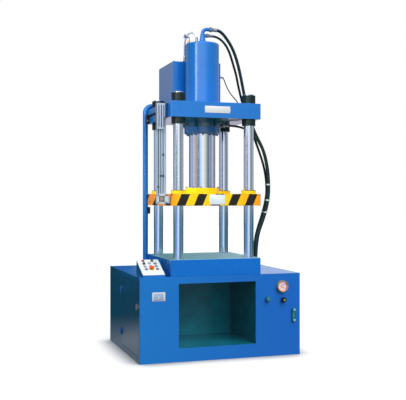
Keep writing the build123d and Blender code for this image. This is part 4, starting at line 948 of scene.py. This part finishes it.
dress("wiring_ducts", "grey_paint", "frame",
      [on_board(duct, PLATE_FACE, -138, z) for z in duct_heights])
dress("duct_slots", "black_plastic", "frame",
      [on_board(slot_bar, PLATE_FACE - 36, -332 + 14 * step, z)
       for z in duct_heights for step in range(28)])

# Lock plate on the door, and a circle of bolts on the pump's bell housing
lock_plate = collar(9.4, 19, 2.2, 17.5, 3.4)
dress("lock_plate", "crimp_steel", "door", [on_board(lock_plate, -695, -348, 487)])
bell_bolt = hexagon(13, 8)
bell_bolts = []
for step in range(6):
    angle = math.tau * step / 6
    spot = (180, MOTOR_Y + 88 * math.cos(angle), MOTOR_HEIGHT + 88 * math.sin(angle))
    bell_bolts.append((bell_bolt, at(spot, *SIDEWAYS)))
dress("bell_bolts", "bare_steel", "frame", bell_bolts)

# Floor: white to the camera, with the object's shadow; dull green to the light that would come
# back from it; and to mirrors an even sheet whose tone changes round the press
floor_mesh = bpy.data.meshes.new("floor")
sheet = bmesh.new()
bmesh.ops.create_grid(sheet, x_segments=8, y_segments=8, size=30.0)
sheet.to_mesh(floor_mesh)
sheet.free()
floor = bpy.data.objects.new("floor", floor_mesh)
scene.collection.objects.link(floor)
floor_material = bpy.data.materials.new("floor_white")
floor_material.use_nodes = True
nodes = Nodes(floor_material.node_tree)
seen = nodes.add("ShaderNodeLightPath").outputs


def either(first, second):
    """Rays of either kind."""
    return nodes.math("MAXIMUM", seen[first], seen[second])


def floor_shader(kind, colour):
    node = nodes.add(kind)
    nodes.set_or_join(node.inputs[0], colour)
    return node.outputs[0]


def floor_mix(factor, first, second):
    chosen = nodes.add("ShaderNodeMixShader")
    for socket, source in zip(chosen.inputs, (factor, first, second)):
        nodes.join(source, socket)
    return chosen.outputs[0]


contact = nodes.add("ShaderNodeAmbientOcclusion", samples=12)
contact.inputs["Distance"].default_value = 0.2
open_floor = nodes.between(contact.outputs["AO"], 0.5, 0.98)
glow = nodes.mix(open_floor, (0.14, 0.16, 0.2, 1), (0.84, 0.845, 0.86, 1))
bright = nodes.add("ShaderNodeAddShader")
nodes.join(floor_shader("ShaderNodeBsdfDiffuse", (0.2, 0.2, 0.2, 1)), bright.inputs[0])
nodes.join(floor_shader("ShaderNodeEmission", glow), bright.inputs[1])

place = nodes.split(nodes.place())
distance = nodes.math("SQRT", nodes.math("ADD", nodes.math("POWER", place["X"], 2.0),
                                         nodes.math("POWER", place["Y"], 2.0)))
bearing = nodes.math("ARCTAN2", place["X"], nodes.product(place["Y"], -1.0))
sheet_tone = nodes.round_tones(nodes.between(bearing, -math.pi, math.pi), (
    (-180, 0.012, 0.05, 0.055), (-146, 0.012, 0.05, 0.055), (-126, 0.50, 0.54, 0.58),
    (-100, 0.30, 0.34, 0.38), (-70, 0.66, 0.70, 0.74), (-30, 0.52, 0.56, 0.60),
    (-4, 0.24, 0.27, 0.30), (36, 0.24, 0.27, 0.30), (52, 0.50, 0.54, 0.58),
    (82, 0.34, 0.38, 0.42), (112, 0.66, 0.70, 0.74), (150, 0.50, 0.54, 0.58),
    (168, 0.30, 0.34, 0.36), (176, 0.02, 0.06, 0.065)))
around = nodes.mix(nodes.between(distance, 0.8, 2.6), (0.26, 0.28, 0.3, 1), sheet_tone)
in_gloss = floor_mix(nodes.between(distance, 9.0, 13.0),
                     floor_shader("ShaderNodeEmission", around),
                     floor_shader("ShaderNodeBsdfTransparent", WHITE))
dull = floor_shader("ShaderNodeBsdfDiffuse", (0.05, 0.11, 0.07, 1))
shown = floor_mix(either("Is Camera Ray", "Is Transmission Ray"), dull, bright.outputs[0])
shown = floor_mix(seen["Is Glossy Ray"], shown, in_gloss)
nodes.join(shown, nodes.add("ShaderNodeOutputMaterial").inputs[0])
floor_mesh.materials.append(floor_material)

# World: white behind, a dim even light on matt surfaces, and for gloss a studio with soft bands
# at eye level, bright boxes above it and dark tones below it
world = bpy.data.worlds.new("studio")
scene.world = world
world.use_nodes = True
nodes = Nodes(world.node_tree)
seen = nodes.add("ShaderNodeLightPath").outputs
direction = nodes.split(nodes.add("ShaderNodeTexCoord").outputs["Generated"])
angle = nodes.math("ARCTAN2", direction["X"], nodes.product(direction["Y"], -1.0))
turn = nodes.between(angle, -math.pi, math.pi)
bands = nodes.round_tones(turn, (
    (-180, 0.02, 0.08, 0.24), (-154, 0.08, 0.11, 0.10), (-142, 0.33, 0.37, 0.55),
    (-128, 0.50, 0.58, 0.66), (-114, 0.38, 0.42, 0.60), (-101, 0.62, 0.65, 0.74),
    (-90, 0.68, 0.66, 0.60), (-80, 0.64, 0.50, 0.40), (-70, 0.56, 0.50, 0.42),
    (-61, 0.40, 0.58, 0.52), (-51, 0.08, 0.17, 0.20), (-42, 0.30, 0.43, 0.55),
    (-34, 0.70, 0.83, 0.92), (-25, 0.80, 0.90, 0.98), (-16, 1.00, 1.04, 1.12),
    (-8, 1.05, 1.05, 1.08), (1, 0.90, 0.90, 0.82), (10, 0.72, 0.76, 0.63),
    (19, 0.50, 0.57, 0.42), (28, 0.26, 0.32, 0.20), (38, 0.13, 0.16, 0.22),
    (48, 0.40, 0.48, 0.53), (58, 0.24, 0.30, 0.38), (70, 0.38, 0.44, 0.64),
    (83, 0.56, 0.58, 0.72), (98, 0.53, 0.52, 0.45), (117, 0.18, 0.17, 0.14),
    (142, 0.62, 0.78, 0.78), (157, 0.90, 1.02, 1.04), (162, 0.62, 0.78, 0.86),
    (165.3, 0.34, 0.60, 0.66), (167, 0.015, 0.09, 0.36)))
boxes = nodes.round_tones(turn, (
    (-180, 0.05), (-175, 0.4), (-150, 0.4), (-100, 0.15), (-69, 0.2), (-66, 8.0), (-57, 8.0),
    (-51, 2.2), (-42, 2.1), (-20, 1.6), (0, 1.1), (14, 0.6), (26, 0.35), (60, 0.25),
    (140, 0.5), (152, 0.5), (163, 0.05), (180, 0.05)))
below = nodes.round_tones(turn, (
    (-180, 0.05, 0.10, 0.10), (-122, 0.06, 0.14, 0.11), (-98, 0.16, 0.32, 0.26),
    (-72, 0.10, 0.24, 0.66), (-55, 0.16, 0.34, 0.76), (-40, 0.46, 0.66, 0.90),
    (-20, 0.80, 0.94, 1.10), (-3, 0.60, 0.80, 1.00), (9, 0.08, 0.24, 0.28),
    (32, 0.04, 0.18, 0.30), (56, 0.16, 0.32, 0.38), (76, 0.05, 0.12, 0.13),
    (140, 0.08, 0.14, 0.14), (152, 0.62, 0.62, 0.74), (165, 0.72, 0.68, 0.84),
    (171, 0.10, 0.12, 0.14)))
# A second mirror image shows the bands alone, because the boxes' images there are too small
first_image = nodes.math("LESS_THAN", seen["Glossy Depth"], 1.5)
raised = nodes.product(nodes.between(direction["Z"], 0.095, 0.125), first_image)
gloss = nodes.mix(raised, bands, boxes)
gloss = nodes.mix(nodes.between(direction["Z"], -0.004, -0.02), gloss, below)
gloss = nodes.mix(nodes.between(direction["Z"], 0.45, 0.9), gloss, (0.75, 0.8, 0.9, 1.0))
from_left = nodes.between(direction["X"], -1.0, 1.0)
ambient = nodes.mix(from_left, (0.055, 0.135, 0.04, 1.0), (0.33, 0.36, 0.42, 1.0))
direct = nodes.math("LESS_THAN", seen["Diffuse Depth"], 0.5)
mirror = nodes.product(seen["Is Glossy Ray"], direct)
on_press = nodes.mix(mirror, ambient, gloss)
final = nodes.mix(either("Is Camera Ray", "Is Transmission Ray"), on_press, WHITE)
background = nodes.add("ShaderNodeBackground")
nodes.join(final, background.inputs[0])
nodes.join(background.outputs[0], nodes.add("ShaderNodeOutputWorld").inputs[0])


def place_lamp(name, kind, energy, towards):
    """Lamp that mirrors don't show, turned so that its light comes from a direction."""
    lamp = bpy.data.lights.new(name, kind)
    lamp.energy = energy
    holder = bpy.data.objects.new(name, lamp)
    holder.rotation_euler = Vector(towards).to_track_quat("Z", "Y").to_euler()
    holder.visible_glossy = False
    scene.collection.objects.link(holder)
    return lamp, holder


def add_sun(name, azimuth, elevation, strength, spread):
    """Soft far lamp; azimuth counts from the front towards the right."""
    a, e = math.radians(azimuth), math.radians(elevation)
    towards = (math.sin(a) * math.cos(e), -math.cos(a) * math.cos(e), math.sin(e))
    lamp, _ = place_lamp(name, "SUN", strength, towards)
    lamp.angle = math.radians(spread)


def add_spot(name, place, aim, power, cone):
    """Soft spot lamp at a place, turned to what it lights."""
    lamp, holder = place_lamp(name, "SPOT", power, Vector(place) - Vector(aim))
    lamp.shadow_soft_size = 0.5
    lamp.spot_size = math.radians(cone)
    lamp.spot_blend = 0.9
    holder.location = place


add_sun("key", 18, 46, 2.9, 50)
add_sun("front_low", -2, 8, 0.55, 30)
add_sun("top", -40, 78, 0.3, 60)
add_sun("behind", 160, 36, 1.9, 50)
add_spot("upper_left", (-3.3, -1.5, 3.7), (-0.1, 0.0, 2.45), 330, 46)
add_spot("slide_left", (-3.0, -0.9, 1.6), (-0.42, 0.0, 1.46), 340, 28)
